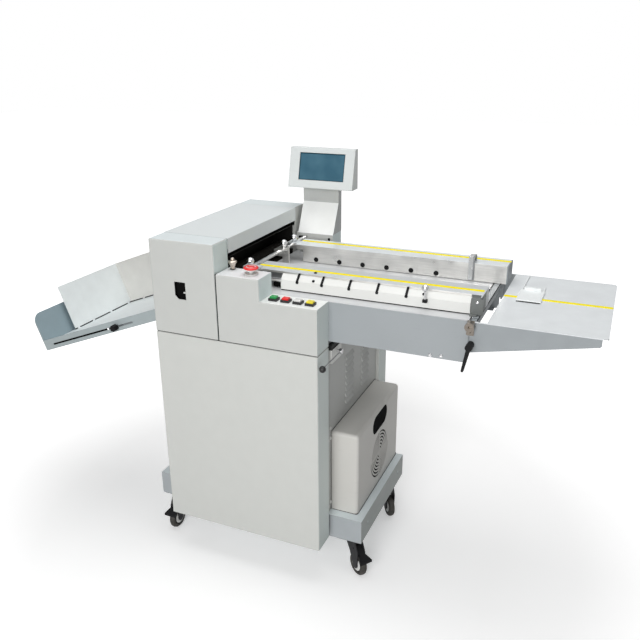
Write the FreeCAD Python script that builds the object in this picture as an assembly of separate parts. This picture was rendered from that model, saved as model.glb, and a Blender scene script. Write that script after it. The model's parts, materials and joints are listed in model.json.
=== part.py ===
import FreeCAD, Part
import math
import os

# Lengths are millimetres. X runs from the delivery end to the feed end, Y from the operator side
# to the back, Z up. The origin lies on the floor under the middle of the whole machine's outline.

# Cabinet and head outlines, measured from the left edge, the front face and the floor
cab_wide = 515.0
cab_deep = 598.0
cover_deep = 77.0
base_low = 130.0
base_tall = 78.0
base_high = base_low + base_tall
cover_drop = 70.0
cover_low = base_high - cover_drop
cabinet_tall = 560.0
seam_high = base_high + cabinet_tall
seam_gap = 3.0
shelf_rise = 133.0
shelf_high = seam_high + shelf_rise
head_rise = 144.0
head_high = shelf_high + head_rise
head_wide = 209.0
block_gap = 5.0
block_left = head_wide + block_gap
block_wide = 131.0
block_right = block_left + block_wide
block_rise = 62.0
block_high = shelf_high + block_rise
cover_sheet = 2.0
cover_round = 4.0
return_wide = 34.0
touch = 0.4
side_step = 11.0
near = 0.01

# Window in the front end cap
window_left = 77.0
window_wide = 36.0
window_drop = 169.0
window_low = head_high - window_drop
window_tall = 51.0
window_chamfer = 11.0
window_pin_round = 2.5
window_pin_long = 9.0
window_pin_drop = 31.0

# Base frame and its castors
base_reach = 100.0
base_long = cab_wide + 2 * base_reach
base_inset = 90.0
base_deep = cab_deep - 2 * base_inset
base_sheet = 3.0
base_flange = 45.0
base_hole_round = 4.5
base_hole_inset = 60.0
base_hole_rise = 42.0
base_hole_high = base_low + base_hole_rise
castor_inset = 42.0
castor_trail = 32.0
castor_plate = 76.0
castor_plate_thick = 4.0
plate_bolt_round = 4.5
plate_bolt_high = 5.0
plate_bolt_inset = 11.0
race_round = 20.0
race_thick = 5.0
pivot_round = 6.0
pivot_head_round = 9.0
pivot_head_thick = 4.0
running = 0.05
crown_thick = 10.0
crown_gap = 0.6
crown_half = 24.0
crown_front = 30.0
cheek_thick = 3.0
cheek_gap = 1.5
wheel_round = 37.5
wheel_wide = 20.0
wheel_edge = 5.0
tread_share = 0.25
hub_round = 23.0
hub_sunk = 4.0
hub_boss_round = 9.0
axle_round = 4.0
fork_end_round = 12.0
fork_knee_x = 16.0
fork_knee_drop = 46.0
fork_knee_z = base_low - fork_knee_drop
pedal_pivot_x = 24.0
pedal_pivot_drop = 36.0
pedal_pivot_z = base_low - pedal_pivot_drop
pedal_pin_round = 3.0
pedal_wide = 21.0
pedal_tip_wide = 44.0
pedal_tip_x = 74.0
pedal_tip_drop = 24.0
pedal_tip_z = pedal_pivot_z - pedal_tip_drop
pedal_tip_thick = 8.0
pedal_heel_x = 13.0
pedal_heel_drop = 10.0
pedal_heel_low = pedal_pivot_z - pedal_heel_drop
pedal_heel_rise = 7.0
pedal_heel_high = pedal_pivot_z + pedal_heel_rise
pedal_knee_x = 44.0
pedal_knee_drop = 16.0
pedal_knee_low = pedal_pivot_z - pedal_knee_drop
pedal_flare_x = 50.0
castor_angles = (-36.0, -90.0, -54.0, -75.0)

# Carcass inside the covers
post_leg = 30.0
leg_thick = 3.0
carcass_plate = 3.0
seat_inset = 21.0
seat_left = block_left + seat_inset
exit_rise = 5.0
exit_high = shelf_high + exit_rise

# Louvres in the right panel
louvre_shares = (0.391, 0.624)
louvre_long = 61.0
louvre_rise = 310.0
louvre_low = base_high + louvre_rise
louvre_pitch = 21.0
louvre_rows = 8
louvre_tall = 12.0
louvre_proud = 6.0
louvre_skin = 1.5
notch_front = 97.0
notch_back = 188.0
beam_lift = 17.0
beam_low = seam_high + beam_lift
panel_gap = 1.0
panel_top = beam_low - panel_gap

# Head mechanism
plate_thick = 6.0
plate_left = 13.0
plate_inset = 9.0
plate_right = head_wide - plate_inset
plate_drop = 60.0
plate_top = head_high - plate_drop
roller_inset = 22.0
roller_x = plate_right - roller_inset
roller_round = 20.0
roller_shaft_round = 8.0
nip_gap = 0.5
sleeve_inset = 6.0
blade_inset = 80.0
blade_x = plate_right - blade_inset
blade_thick = 2.0
blade_rise = 4.0
blade_low = shelf_high + blade_rise
carrier_half = 10.0
carrier_rise = 20.0
carrier_low = blade_low + carrier_rise
carrier_tall = 25.0
carrier_high = carrier_low + carrier_tall
tongue_half = 6.0
tongue_gap = 0.4
blade_travel = 6.0
anvil_half = 13.0
anvil_tall = 28.0
anvil_drop = 1.5
groove_half = 2.2
groove_deep = 6.0

# Lid and its hinge
lid_over = 3.0
lid_lift = 18.0
lid_flange_low = plate_top + lid_lift
lid_side_gap = 1.0
hinge_x = 9.0
hinge_lift = 11.0
hinge_z = plate_top + hinge_lift
hinge_pin_round = 3.0
knuckle_round = 6.0
knuckle_long = 40.0
knuckle_gap = 0.6
hinge_bar_left = 20.0
hinge_bar_right = 44.0
hinge_bar_thick = 12.0
rest_wide = 50.0
rest_left = plate_right - rest_wide

# Controls on the operator side
stop_inset = 90.0
stop_x = block_left + stop_inset
control_y = 38.0
stop_head_round = 21.0
stop_head_rise = 11.0
stop_head_low = block_high + stop_head_rise
stop_head_edge = 6.0
stop_head_dome = 13.0
stop_rim_share = 0.93
stop_edge_share = 1 / 3
stop_shoulder_share = 0.86
stop_crown_share = 0.5
stop_neck_round = 12.0
stop_stem_round = 6.0
stop_stem_drop = 25.0
stop_stem_low = block_high - stop_stem_drop
stop_collar_round = 19.0
stop_collar_thick = 5.0
stop_body_round = 11.0
stop_body_drop = 33.0
stop_body_low = block_high - stop_body_drop
button_inset = 30.0
button_left = block_right + button_inset
button_pitch = 36.0
button_y = 31.0
button_bezel_wide = 25.0
button_bezel_deep = 22.0
button_bezel_high = 7.0
button_cap_wide = 19.0
button_cap_deep = 16.0
button_cap_gap = 0.5
button_well = 6.0
button_cap_low = 4.0
button_cap_high = 12.0
button_body_round = 8.0
button_body_deep = 20.0
button_edge = 1.2

# Feed table
deck_thick = 2.0
deck_gap = 7.0
deck_left = head_wide + deck_gap
beam_reach = 382.0
beam_right = cab_wide + beam_reach
beam_sheet = 2.0
beam_flange = 30.0
beam_corner = 12.0
end_bar_wide = 18.0
end_bar_tall = 16.0
end_bar_gap = 1.0
table_gap = 43.0
table_left = beam_right + table_gap
table_long = 283.5
table_right = table_left + table_long
table_drop = 2.4
table_high = shelf_high - table_drop
table_inset = 71.0
table_back = cab_deep - table_inset
table_sheet = 2.0
table_corner = 14.0
skirt_gap = 1.5
skirt_left = beam_right + skirt_gap
skirt_tall = 84.6
skirt_low = table_high - skirt_tall
skirt_heel_inset = 17.5
skirt_heel_x = table_right - skirt_heel_inset
skirt_heel_drop = 22.6
skirt_heel_z = table_high - skirt_heel_drop
skirt_toe_drop = 4.6
skirt_toe_z = table_high - skirt_toe_drop
tongue_long = 48.5
tongue_left = skirt_left - tongue_long
tongue_lift = 8.0
tongue_low = skirt_low + tongue_lift
tongue_high = shelf_high - end_bar_tall - touch
tongue_web_wide = 9.5
tongue_web_right = skirt_left + tongue_web_wide
table_end_lip = 8.0

# Side guides and their cross shaft
guide_sheet = 2.0
guide_lift = 2.0
guide_foot = shelf_high + guide_lift
front_guide_y = 212.0
front_guide_inset = 48.0
front_guide_left = block_left + front_guide_inset
front_guide_over = 16.0
front_guide_right = beam_right + front_guide_over
front_guide_tall = 48.0
front_guide_top = guide_foot + front_guide_tall
guide_flange = 77.0
guide_lip = 6.0
clip_share = 0.25
rear_guide_inset = 200.0
rear_guide_y = cab_deep - rear_guide_inset
rear_guide_step = 32.0
rear_guide_left = front_guide_left + rear_guide_step
rear_guide_over = 37.0
rear_guide_right = beam_right + rear_guide_over
rear_guide_tall = 53.0
rear_guide_top = guide_foot + rear_guide_tall
rear_flange_long = 26.0
rear_flange_left = rear_guide_left - rear_flange_long
cap_round = 16.0
shaft_inset = 31.0
shaft_x = block_left + shaft_inset
shaft_rise = 47.0
shaft_z = shelf_high + shaft_rise
shaft_round = 6.0
pillar_half = 9.0
pillar_deep = 12.0
clamp_over = 9.0
clamp_high = shaft_z + clamp_over
clamp_under = 11.0
clamp_low = shaft_z - clamp_under
clamp_back = 12.0
clamp_left = shaft_x - clamp_back
front_clamp_y = 119.0
rear_clamp_step = 14.0
rear_clamp_y = rear_guide_y + rear_clamp_step
clamp_deep = 28.0
clamp_knob_step = 5.0
clamp_knob_x = shaft_x + clamp_knob_step
ball_round = 11.0
ball_high = 12.5
ball_neck_round = 5.0
ball_stem_round = 3.0
ball_stem_deep = 2.2
manifold_gap = 8.0
manifold_left = block_right + manifold_gap
manifold_short = 9.0
manifold_right = beam_right - manifold_short
manifold_front = 118.0
manifold_lift = 2.5
manifold_foot = shelf_high + manifold_lift
manifold_wall = 27.5
manifold_fold = manifold_foot + manifold_wall
manifold_slope_tall = 14.0
manifold_top = manifold_fold + manifold_slope_tall
manifold_slope_deep = 15.0
manifold_shoulder = manifold_front + manifold_slope_deep
manifold_deep = 40.0
manifold_back = manifold_front + manifold_deep
manifold_sheet = 1.5
manifold_lip = 8.0
clip_places = (51.0, 125.0, 205.0, 285.0, 366.0)
clip_wide = 6.0
clip_thick = 3.0
clip_drop = 6.0
clip_low = manifold_fold - clip_drop
clip_knob_round = 4.0
stop_knob_step = 418.0
stop_knob_x = manifold_left + stop_knob_step
stop_foot_wide = 12.0
stop_foot_deep = 10.0
stop_foot_drop = 11.0
stop_foot_low = manifold_fold - stop_foot_drop
stop_foot_tall = 8.0
stop_foot_share = 0.25
stop_pin_round = 3.0
stop_ball_rise = 39.0
stop_ball_z = stop_foot_low + stop_ball_rise
stop_ball_round = 10.0
end_block_gap = 1.5
end_block_left = manifold_right + end_block_gap
end_block_over = 8.0
end_block_right = front_guide_right + end_block_over
end_block_thick = 3.0
end_tab_wide = 18.0
end_tab_deep = 14.0
nozzle_inset = 124.0
nozzle_left = rear_guide_left + nozzle_inset
nozzle_pitch = 77.0
nozzle_count = 5
nozzle_round = 7.5
nozzle_long = 1.0
nozzle_rise = 10.0
nozzle_z = guide_foot + nozzle_rise
sensor_inset = 45.0
sensor_x = rear_guide_left + sensor_inset
separator_inset = 82.0
separator_y = rear_guide_y - separator_inset
separator_deep = 50.0
separator_plate_step = 17.0
separator_plate_left = shaft_x + separator_plate_step
separator_plate_wide = 21.0
separator_plate_right = separator_plate_left + separator_plate_wide
separator_plate_thick = 6.0
separator_knob_step = 36.0
separator_knob_y = separator_y + separator_knob_step
arm_inset = 113.0
arm_left = rear_guide_right - arm_inset
arm_wide = 17.0
arm_sheet = 2.5
arm_gap = 1.5
arm_lift = 2.0
arm_foot = guide_foot + arm_lift
arm_rise = 19.0
arm_top = rear_guide_top + arm_rise
arm_back = 34.0
tail_inset = 37.0
tail_left = table_left + tail_inset
tail_wide = 66.0
tail_right = tail_left + tail_wide
tail_gap = 26.0
tail_back = rear_guide_y - tail_gap
tail_long = 98.0
tail_front = tail_back - tail_long
tail_thick = 5.0
tail_edge = 2.0
tail_wire_round = 1.5
tail_wire_long = 140.0
tail_wire_short = 40.0
tail_lift = 0.5
tail_ridge = 9.0
tail_ridge_wide = 10.0

# End latch and clamp lever at the table joint
latch_step = 4.0
latch_x = beam_right + latch_step
latch_drop = 11.0
latch_z = shelf_high - latch_drop
latch_round = 12.0
latch_bore_round = 3.5
latch_long = 23.0
latch_front = cover_deep - latch_long
latch_plate_half = 9.0
latch_plate_tall = 39.0
latch_plate_low = shelf_high - latch_plate_tall
latch_plate_thick = 3.0
latch_nut_step = 4.5
latch_nut_round = 5.0
latch_nut_drop = 31.0
latch_nut_z = shelf_high - latch_nut_drop
latch_nut_long = 7.0
lever_inset = 5.5
lever_x = skirt_left + lever_inset
lever_drop = 63.0
lever_z = shelf_high - lever_drop
lever_hub_round = 9.0
lever_hub_long = 31.0
lever_hub_front = cover_deep - lever_hub_long
lever_stud_round = 4.0
lever_arm_long = 67.0
lever_arm_root = 5.5
lever_arm_tip = 3.5
lever_arm_thick = 8.0
lever_arm_step = 5.0
lever_arm_front = lever_hub_front + lever_arm_step
lever_tilt = -11.0

# Air lever and its bracket
bracket_front = 98.0
bracket_back = 172.0
bracket_under = 62.0
bracket_low = seam_high - bracket_under
bracket_tall = 58.0
bracket_high = bracket_low + bracket_tall
bracket_proud = 12.0
bracket_corner = 6.0
bracket_slot_drop = 16.0
bracket_slot_low = bracket_high - bracket_slot_drop
bracket_slot_tall = 5.0
bracket_slot_high = bracket_slot_low + bracket_slot_tall
bracket_slot_front = 108.0
bracket_slot_back = 140.0
bracket_hole_round = 4.0
bracket_hole_y = 112.0
bracket_hole_rise = 12.0
bracket_hole_z = bracket_low + bracket_hole_rise
air_lever_step = 13.0
air_lever_x = cab_wide + air_lever_step
air_pivot_y = 138.0
air_pivot_rise = 27.0
air_pivot_z = bracket_low + air_pivot_rise
air_hub_round = 8.0
air_hub_half = 4.0
air_stud_round = 4.0
air_rod_round = 2.2
air_rod_long = 134.0
air_ball_round = 9.5

# Pump box
pump_wide = 75.0
pump_right = cab_wide + pump_wide
pump_front = 121.0
pump_inset = 86.0
pump_back = cab_deep - pump_inset
pump_tall = 269.5
pump_top = base_high + pump_tall
pump_sheet = 1.5
pump_round = 11.0
hand_wide = 140.0
hand_tall = 61.0
hand_drop = 72.5
hand_low = pump_top - hand_drop
grille_offset = 5.5
grille_rise = 110.0
grille_z = base_high + grille_rise
grille_inner = 3.2
grille_pitch = 10.7
grille_slot = 5.0
grille_rings = 7
grille_spoke = 4.0

# Display
tower_inset = 5.0
tower_left = block_left + tower_inset
tower_foot_deep = 73.0
tower_front = cab_deep - tower_foot_deep
tower_neck_deep = 26.0
tower_knee_y = cab_deep - tower_neck_deep
tower_knee_rise = 97.0
tower_knee_z = block_high + tower_knee_rise
tower_neck_tall = 130.0
tower_top = tower_knee_z + tower_neck_tall
tower_sheet = 2.0
display_over = 28.0
display_left = block_left - display_over
display_wide = 225.0
display_right = display_left + display_wide
display_rise = 52.0
display_low = tower_knee_z + display_rise
display_tall = 126.0
display_high = display_low + display_tall
display_deep = 52.0
display_front = tower_knee_y - display_deep
display_lean = 30.0
display_sheet = 2.5
screen_inset = 36.0
screen_left = display_left + screen_inset
screen_wide = 156.0
screen_tall = 86.0
screen_low = 27.0
screen_thick = 3.0
screen_gap = 0.5
screen_sunk = 1.0

# Adjusting knob on the operator block
gap_knob_inset = 19.0
gap_knob_x = block_left + gap_knob_inset
gap_knob_y = 62.0
gap_knob_round = 13.0
gap_knob_waist = 8.0
gap_knob_foot = 5.0
gap_knob_low = 4.0
gap_knob_mid = 16.0
gap_knob_shoulder = 24.0
gap_knob_cap = 2.0
gap_knob_ball = 5.0
gap_knob_top = 29.5
gap_stem_round = 4.0
gap_stem_deep = 14.0

# Delivery tray, in its own sloping frame
tray_angle = -20.8
tray_x = -42.4
tray_y = 60.0
tray_rise = 40.3
tray_z = seam_high + tray_rise
tray_long = 499.0
tray_inset = 88.0
tray_wide = cab_deep - tray_y - tray_inset
tray_sheet = 2.0
tray_wall_low = 35.0
tray_toe = 4.0
tray_floor_top = 12.0
tray_slot_left = 459.0
tray_slot_right = 103.0
tray_slot_drop = 20.0
tray_slot_half = 2.9
tray_end_tall = 92.0
tray_end_wide = 240.0
tray_end_round = 34.0
stop_plate_inset = 17.0
stop_plate_front = 135.0
stop_plate_tall = 147.0
stop_plate_foot = 4.0
stop_foot_width = 10.0
stop_foot_shares = (0.04, 0.30, 0.62, 0.96)
rear_wall_right = 60.0
rear_foot_shares = (0.15, 0.5, 0.85)
rail_inset = 26.0
rail_sheet = 4.0
rail_left = 230.0
rail_right = 63.0
rail_low = 33.0
rail_gap = 0.3
rail_boss_round = 6.0
rail_boss_gap = 0.4
rail_boss_drop = 1.0
cross_left = 10.0
cross_rise = 20.0
cross_low = seam_high + cross_rise
cross_tall = 24.0
cross_high = cross_low + cross_tall
tray_knob_s = 170.0
tray_knob_round = 10.0
tray_knob_front = 22.0
tray_knob_back = 4.0
tray_knob_lobes = 6
tray_knob_dent = 3.0
tray_lobe_reach = 11.0
tray_shank_round = 2.5


def tray_reach():
    """Give how far left of the cabinet the highest corners of the tray's upright plates lie."""
    slope = math.radians(-tray_angle)
    end = tray_long * math.cos(slope) + tray_end_tall * math.sin(slope)
    stop = (tray_long - stop_plate_inset) * math.cos(slope) + stop_plate_tall * math.sin(slope)
    return max(end, stop) - tray_x


def sx(value):
    """Place a distance from the cabinet's left edge."""
    return value - (table_right - tray_reach()) / 2


def sy(value):
    """Place a distance from the cabinet's front face."""
    front = air_pivot_y - air_rod_long - air_ball_round
    return value - (cab_deep + front) / 2


def mirror_y(value):
    """Give the distance that faces another one across the middle plane."""
    return cab_deep - value


def block(x0, x1, y0, y1, z0, z1):
    """Make a box between two corners, with X and Y from the cabinet's left and front."""
    return Part.makeBox(x1 - x0, y1 - y0, z1 - z0, FreeCAD.Vector(sx(x0), sy(y0), z0))


def hollow(x0, x1, y0, y1, z0, z1, skin, opened, radius):
    """Make a sheet box with its upright and top outer edges rounded and some sides open."""
    outer = block(x0, x1, y0, y1, z0, z1)
    outer = soften(outer, radius, opened)
    reach = {"x0": 0.0, "x1": 0.0, "y0": 0.0, "y1": 0.0, "z0": 0.0, "z1": 0.0}
    for side in opened:
        reach[side] = 2 * skin
    inner = block(
        x0 + skin - reach["x0"], x1 - skin + reach["x1"],
        y0 + skin - reach["y0"], y1 - skin + reach["y1"],
        z0 + skin - reach["z0"], z1 - skin + reach["z1"],
    )
    return outer.cut(soften(inner, radius - skin, opened))


def returns(x0, x1, y, z0, z1):
    """Make the two inner flanges that stiffen a cover's open edge beside its upright walls."""
    return [
        block(x0 + cover_sheet, x0 + return_wide, y, y + cover_sheet, z0, z1),
        block(x1 - return_wide, x1 - cover_sheet, y, y + cover_sheet, z0, z1),
    ]


def soften(shape, radius, opened):
    """Round the edges of a box that touch no open side and aren't at its foot."""
    box = shape.BoundBox
    limits = {
        "x0": ("XMin", "XMax", box.XMin), "x1": ("XMin", "XMax", box.XMax),
        "y0": ("YMin", "YMax", box.YMin), "y1": ("YMin", "YMax", box.YMax),
        "z0": ("ZMin", "ZMax", box.ZMin), "z1": ("ZMin", "ZMax", box.ZMax),
    }
    barred = [limits[side] for side in tuple(opened) + ("z0",)]
    chosen = []
    for edge in shape.Edges:
        bound = edge.BoundBox
        on_open = False
        for low, high, level in barred:
            if abs(getattr(bound, low) - level) < near and abs(getattr(bound, high) - level) < near:
                on_open = True
        if not on_open:
            chosen.append(edge)
    return shape.makeFillet(radius, chosen)


def wire(points):
    """Close a list of vectors into a wire."""
    return Part.makePolygon(points + [points[0]])


def prism_y(points, y0, y1):
    """Sweep an outline of X and Z pairs along Y."""
    ring = [FreeCAD.Vector(sx(x), sy(y0), z) for x, z in points]
    return Part.Face(wire(ring)).extrude(FreeCAD.Vector(0, y1 - y0, 0))


def prism_x(points, x0, x1):
    """Sweep an outline of Y and Z pairs along X."""
    ring = [FreeCAD.Vector(sx(x0), sy(y), z) for y, z in points]
    return Part.Face(wire(ring)).extrude(FreeCAD.Vector(x1 - x0, 0, 0))


def folded(points, thick):
    """Give a bent sheet's outline: a line of points and its copy set off to the left."""
    normals = []
    for first, second in zip(points, points[1:]):
        run = second[0] - first[0]
        rise = second[1] - first[1]
        size = math.hypot(run, rise)
        normals.append((-rise / size, run / size))
    offset = []
    for index, point in enumerate(points):
        before = normals[max(index - 1, 0)]
        after = normals[min(index, len(normals) - 1)]
        mixed = (before[0] + after[0], before[1] + after[1])
        scale = 2 * thick / (mixed[0] ** 2 + mixed[1] ** 2)
        offset.append((point[0] + mixed[0] * scale, point[1] + mixed[1] * scale))
    return list(points) + offset[::-1]


def rod(x, y, z, radius, length, way):
    """Make a cylinder that starts at a point and runs along a direction."""
    return Part.makeCylinder(radius, length, FreeCAD.Vector(sx(x), sy(y), z), way)


def ball(x, y, z, radius):
    """Make a sphere."""
    return Part.makeSphere(radius, FreeCAD.Vector(sx(x), sy(y), z))


def along_x():
    """Give the X direction."""
    return FreeCAD.Vector(1, 0, 0)


def along_y():
    """Give the Y direction."""
    return FreeCAD.Vector(0, 1, 0)


def along_z():
    """Give the Z direction."""
    return FreeCAD.Vector(0, 0, 1)


def turned(profile, x, y, z):
    """Turn a profile of radius and height pairs about an upright line."""
    ring = [FreeCAD.Vector(radius, 0, height) for radius, height in profile]
    solid = Part.Face(wire(ring)).revolve(FreeCAD.Vector(0, 0, 0), along_z(), 360)
    solid.translate(FreeCAD.Vector(sx(x), sy(y), z))
    return solid


def fuse_all(shapes):
    """Join shapes into one solid and drop the seams between flush faces."""
    joined = shapes[0]
    for shape in shapes[1:]:
        joined = joined.fuse(shape)
    return joined.removeSplitter()


def cut_all(shape, tools):
    """Take every tool away from a shape."""
    for tool in tools:
        shape = shape.cut(tool)
    return shape


def group(shapes):
    """Keep separate solids together as one piece."""
    solids = []
    for shape in shapes:
        solids.extend(shape.Solids)
    return Part.makeCompound(solids)


def base_corner():
    """Give the base frame's left and front edges."""
    left = (cab_wide - base_long) / 2
    front = (cab_deep - base_deep) / 2
    return left, front


def base_frame():
    """Make the channel frame with its closed top and the end bolt holes."""
    left, front = base_corner()
    right = left + base_long
    back = front + base_deep
    shape = block(left, right, front, back, base_low, base_high)
    shape = shape.cut(block(
        left + base_sheet, right - base_sheet, front + base_sheet, back - base_sheet,
        base_low + base_sheet, base_high - base_sheet,
    ))
    shape = shape.cut(block(
        left + base_flange, right - base_flange, front + base_flange, back - base_flange,
        base_low - base_sheet, base_low + 2 * base_sheet,
    ))
    gussets = []
    for x, y in castor_places():
        half = castor_plate / 2
        gussets.append(block(x - half, x + half, y - half, y + half, base_low, base_low + base_sheet))
    shape = fuse_all([shape] + gussets)
    holes = []
    for y in (front + base_hole_inset, back - base_hole_inset):
        for x in (left - base_sheet, right - 2 * base_sheet):
            holes.append(rod(x, y, base_hole_high, base_hole_round, 3 * base_sheet, along_x()))
    return cut_all(shape, holes)


def castor_places():
    """List the swivel axes: front right, front left, back right and back left."""
    left, front = base_corner()
    low_x = left + castor_inset
    high_x = left + base_long - castor_inset
    low_y = front + castor_inset
    high_y = front + base_deep - castor_inset
    return ((high_x, low_y), (low_x, low_y), (high_x, high_y), (low_x, high_y))


def castor_plates():
    """Make the four mounting plates with their races, pivots and bolt heads."""
    plates = []
    race_low = base_low - castor_plate_thick - race_thick
    for x, y in castor_places():
        half = castor_plate / 2
        plate = block(x - half, x + half, y - half, y + half, base_low - castor_plate_thick, base_low)
        race = rod(x, y, race_low, race_round, race_thick, along_z())
        neck_low = race_low - crown_gap - crown_thick - crown_gap
        pin = rod(x, y, neck_low, pivot_round, race_low - neck_low, along_z())
        head = rod(x, y, neck_low - pivot_head_thick, pivot_head_round, pivot_head_thick, along_z())
        pieces = [plate, race, pin, head]
        reach = half - plate_bolt_inset
        for side_x in (-1, 1):
            for side_y in (-1, 1):
                pieces.append(rod(
                    x + side_x * reach, y + side_y * reach, base_low - castor_plate_thick - plate_bolt_high,
                    plate_bolt_round, plate_bolt_high, along_z(),
                ))
        plates.append(fuse_all(pieces))
    return group(plates)


def fork_local():
    """Make a fork about its own swivel axis, trailing towards X."""
    crown_top = base_low - castor_plate_thick - race_thick - crown_gap
    crown_low = crown_top - crown_thick
    inner = wheel_wide / 2 + cheek_gap
    outer = inner + cheek_thick
    crown = Part.makeBox(
        crown_half + crown_front, 2 * outer, crown_thick, FreeCAD.Vector(-crown_half, -outer, crown_low)
    )
    outline = [
        (-crown_half, crown_top), (crown_front, crown_top), (castor_trail + fork_knee_x, fork_knee_z),
        (castor_trail + fork_end_round, wheel_round), (castor_trail - fork_end_round, wheel_round),
        (castor_trail - fork_knee_x - fork_end_round, fork_knee_z - crown_thick),
        (-crown_half, crown_low),
    ]
    pieces = [crown]
    for start in (-outer, inner):
        ring = [FreeCAD.Vector(x, start, z) for x, z in outline]
        cheek = Part.Face(wire(ring)).extrude(FreeCAD.Vector(0, cheek_thick, 0))
        tip = Part.makeCylinder(
            fork_end_round, cheek_thick, FreeCAD.Vector(castor_trail, start, wheel_round), along_y()
        )
        pieces.append(cheek.fuse(tip))
    pieces.append(Part.makeCylinder(
        axle_round, 2 * outer, FreeCAD.Vector(castor_trail, -outer, wheel_round), along_y()
    ))
    shape = fuse_all(pieces)
    bore = Part.makeCylinder(
        pivot_round + running, 3 * crown_thick, FreeCAD.Vector(0, 0, crown_low - crown_thick), along_z()
    )
    pin = Part.makeCylinder(
        pedal_pin_round + running, 4 * outer,
        FreeCAD.Vector(pedal_pivot_x, -2 * outer, pedal_pivot_z), along_y(),
    )
    return shape.cut(bore).cut(pin)


def wheel_local():
    """Make a wheel with a rounded tread and sunk faces about its axle."""
    half = wheel_wide / 2
    bore = axle_round + running
    tread = wheel_edge * tread_share
    profile = [
        (bore, -half), (hub_boss_round, -half), (hub_boss_round, -half + hub_sunk),
        (hub_round, -half + hub_sunk), (hub_round + hub_sunk, -half), (wheel_round - wheel_edge, -half),
        (wheel_round - tread, -half + wheel_edge - tread), (wheel_round, 0),
        (wheel_round - tread, half - wheel_edge + tread), (wheel_round - wheel_edge, half),
        (hub_round + hub_sunk, half), (hub_round, half - hub_sunk), (hub_boss_round, half - hub_sunk),
        (hub_boss_round, half), (bore, half),
    ]
    ring = [FreeCAD.Vector(castor_trail + radius, side, wheel_round) for radius, side in profile]
    centre = FreeCAD.Vector(castor_trail, 0, wheel_round)
    return Part.Face(wire(ring)).revolve(centre, along_y(), 360)


def pedal_local():
    """Make a brake pedal that widens towards its tip and turns on a pin in the fork."""
    outline = [
        (pedal_heel_x, pedal_heel_low), (pedal_knee_x, pedal_knee_low),
        (pedal_tip_x, pedal_tip_z - pedal_tip_thick), (pedal_tip_x, pedal_tip_z),
        (pedal_pivot_x + pedal_pin_round, pedal_heel_high), (pedal_heel_x, pedal_heel_high),
    ]
    half = pedal_wide / 2
    ring = [FreeCAD.Vector(x, -half, z) for x, z in outline]
    core = Part.Face(wire(ring)).extrude(FreeCAD.Vector(0, pedal_wide, 0))
    wide = pedal_tip_wide / 2
    plan = [
        (pedal_flare_x, -half), (pedal_tip_x, -wide), (pedal_tip_x, wide), (pedal_flare_x, half),
    ]
    slope = (pedal_tip_z - pedal_tip_thick - pedal_knee_low) / (pedal_tip_x - pedal_knee_x)
    low = pedal_knee_low + slope * (pedal_flare_x - pedal_knee_x)
    base = [FreeCAD.Vector(x, y, pedal_tip_z - pedal_tip_thick) for x, y in plan]
    flare = Part.Face(wire(base)).extrude(FreeCAD.Vector(0, 0, low - pedal_tip_z + 2 * pedal_tip_thick))
    band = [
        (pedal_flare_x, low), (pedal_tip_x, pedal_tip_z - pedal_tip_thick), (pedal_tip_x, pedal_tip_z),
        (pedal_flare_x, low + pedal_tip_thick),
    ]
    ring = [FreeCAD.Vector(x, -wide, z) for x, z in band]
    slab = Part.Face(wire(ring)).extrude(FreeCAD.Vector(0, pedal_tip_wide, 0))
    pin_half = wheel_wide / 2 + cheek_gap + cheek_thick
    pin = Part.makeCylinder(
        pedal_pin_round, 2 * pin_half, FreeCAD.Vector(pedal_pivot_x, -pin_half, pedal_pivot_z), along_y()
    )
    return fuse_all([core, flare.common(slab), pin])


def at_castor(shape, index):
    """Turn a castor piece to its angle and move it to its swivel axis."""
    x, y = castor_places()[index]
    shape.rotate(FreeCAD.Vector(0, 0, 0), along_z(), castor_angles[index])
    shape.translate(FreeCAD.Vector(sx(x), sy(y), 0))
    return shape


def carcass():
    """Make the inner frame: four corner posts, the left wall and the head platform."""
    left = side_step + cover_sheet
    right = cab_wide - side_step - cover_sheet
    front = cover_deep
    back = mirror_y(cover_deep)
    top = seam_high - carcass_plate
    pieces = []
    for x, way_x in ((left, 1), (right, -1)):
        for y, way_y in ((front, 1), (back, -1)):
            far_x = x + way_x * post_leg
            far_y = y + way_y * post_leg
            web_x = x + way_x * leg_thick
            web_y = y + way_y * leg_thick
            pieces.append(block(min(x, far_x), max(x, far_x), min(y, web_y), max(y, web_y), base_high, top))
            pieces.append(block(min(x, web_x), max(x, web_x), min(y, far_y), max(y, far_y), base_high, top))
    pieces.append(block(side_step, left, front, back, base_high, top))
    pieces.append(block(side_step, right, front, back, top, seam_high))
    for y0 in (front + beam_sheet, back - beam_flange):
        y1 = y0 + beam_flange - beam_sheet
        pieces.append(block(seat_left, right - post_leg, y0, y1, seam_high, beam_low))
    frame = fuse_all(pieces)
    upper = block(side_step, left, front, back, exit_high, plate_top)
    return group([frame, upper])


def lower_cover(y0, y1, opened):
    """Make one of the two deep pans that close the cabinet's front and back."""
    top = seam_high - seam_gap / 2
    pan = hollow(0.0, cab_wide, y0, y1, cover_low, top, cover_sheet, opened, cover_round)
    edge_y = y1 - cover_sheet if opened == ("y1",) else y0
    flanges = returns(0.0, cab_wide, edge_y, cover_low + cover_sheet, top - cover_sheet)
    return fuse_all([pan] + flanges)


def lower_front_cover():
    """Make the front pan."""
    return lower_cover(0.0, cover_deep, ("y1",))


def lower_rear_cover():
    """Make the back pan."""
    return lower_cover(mirror_y(cover_deep), cab_deep, ("y0",))


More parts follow.
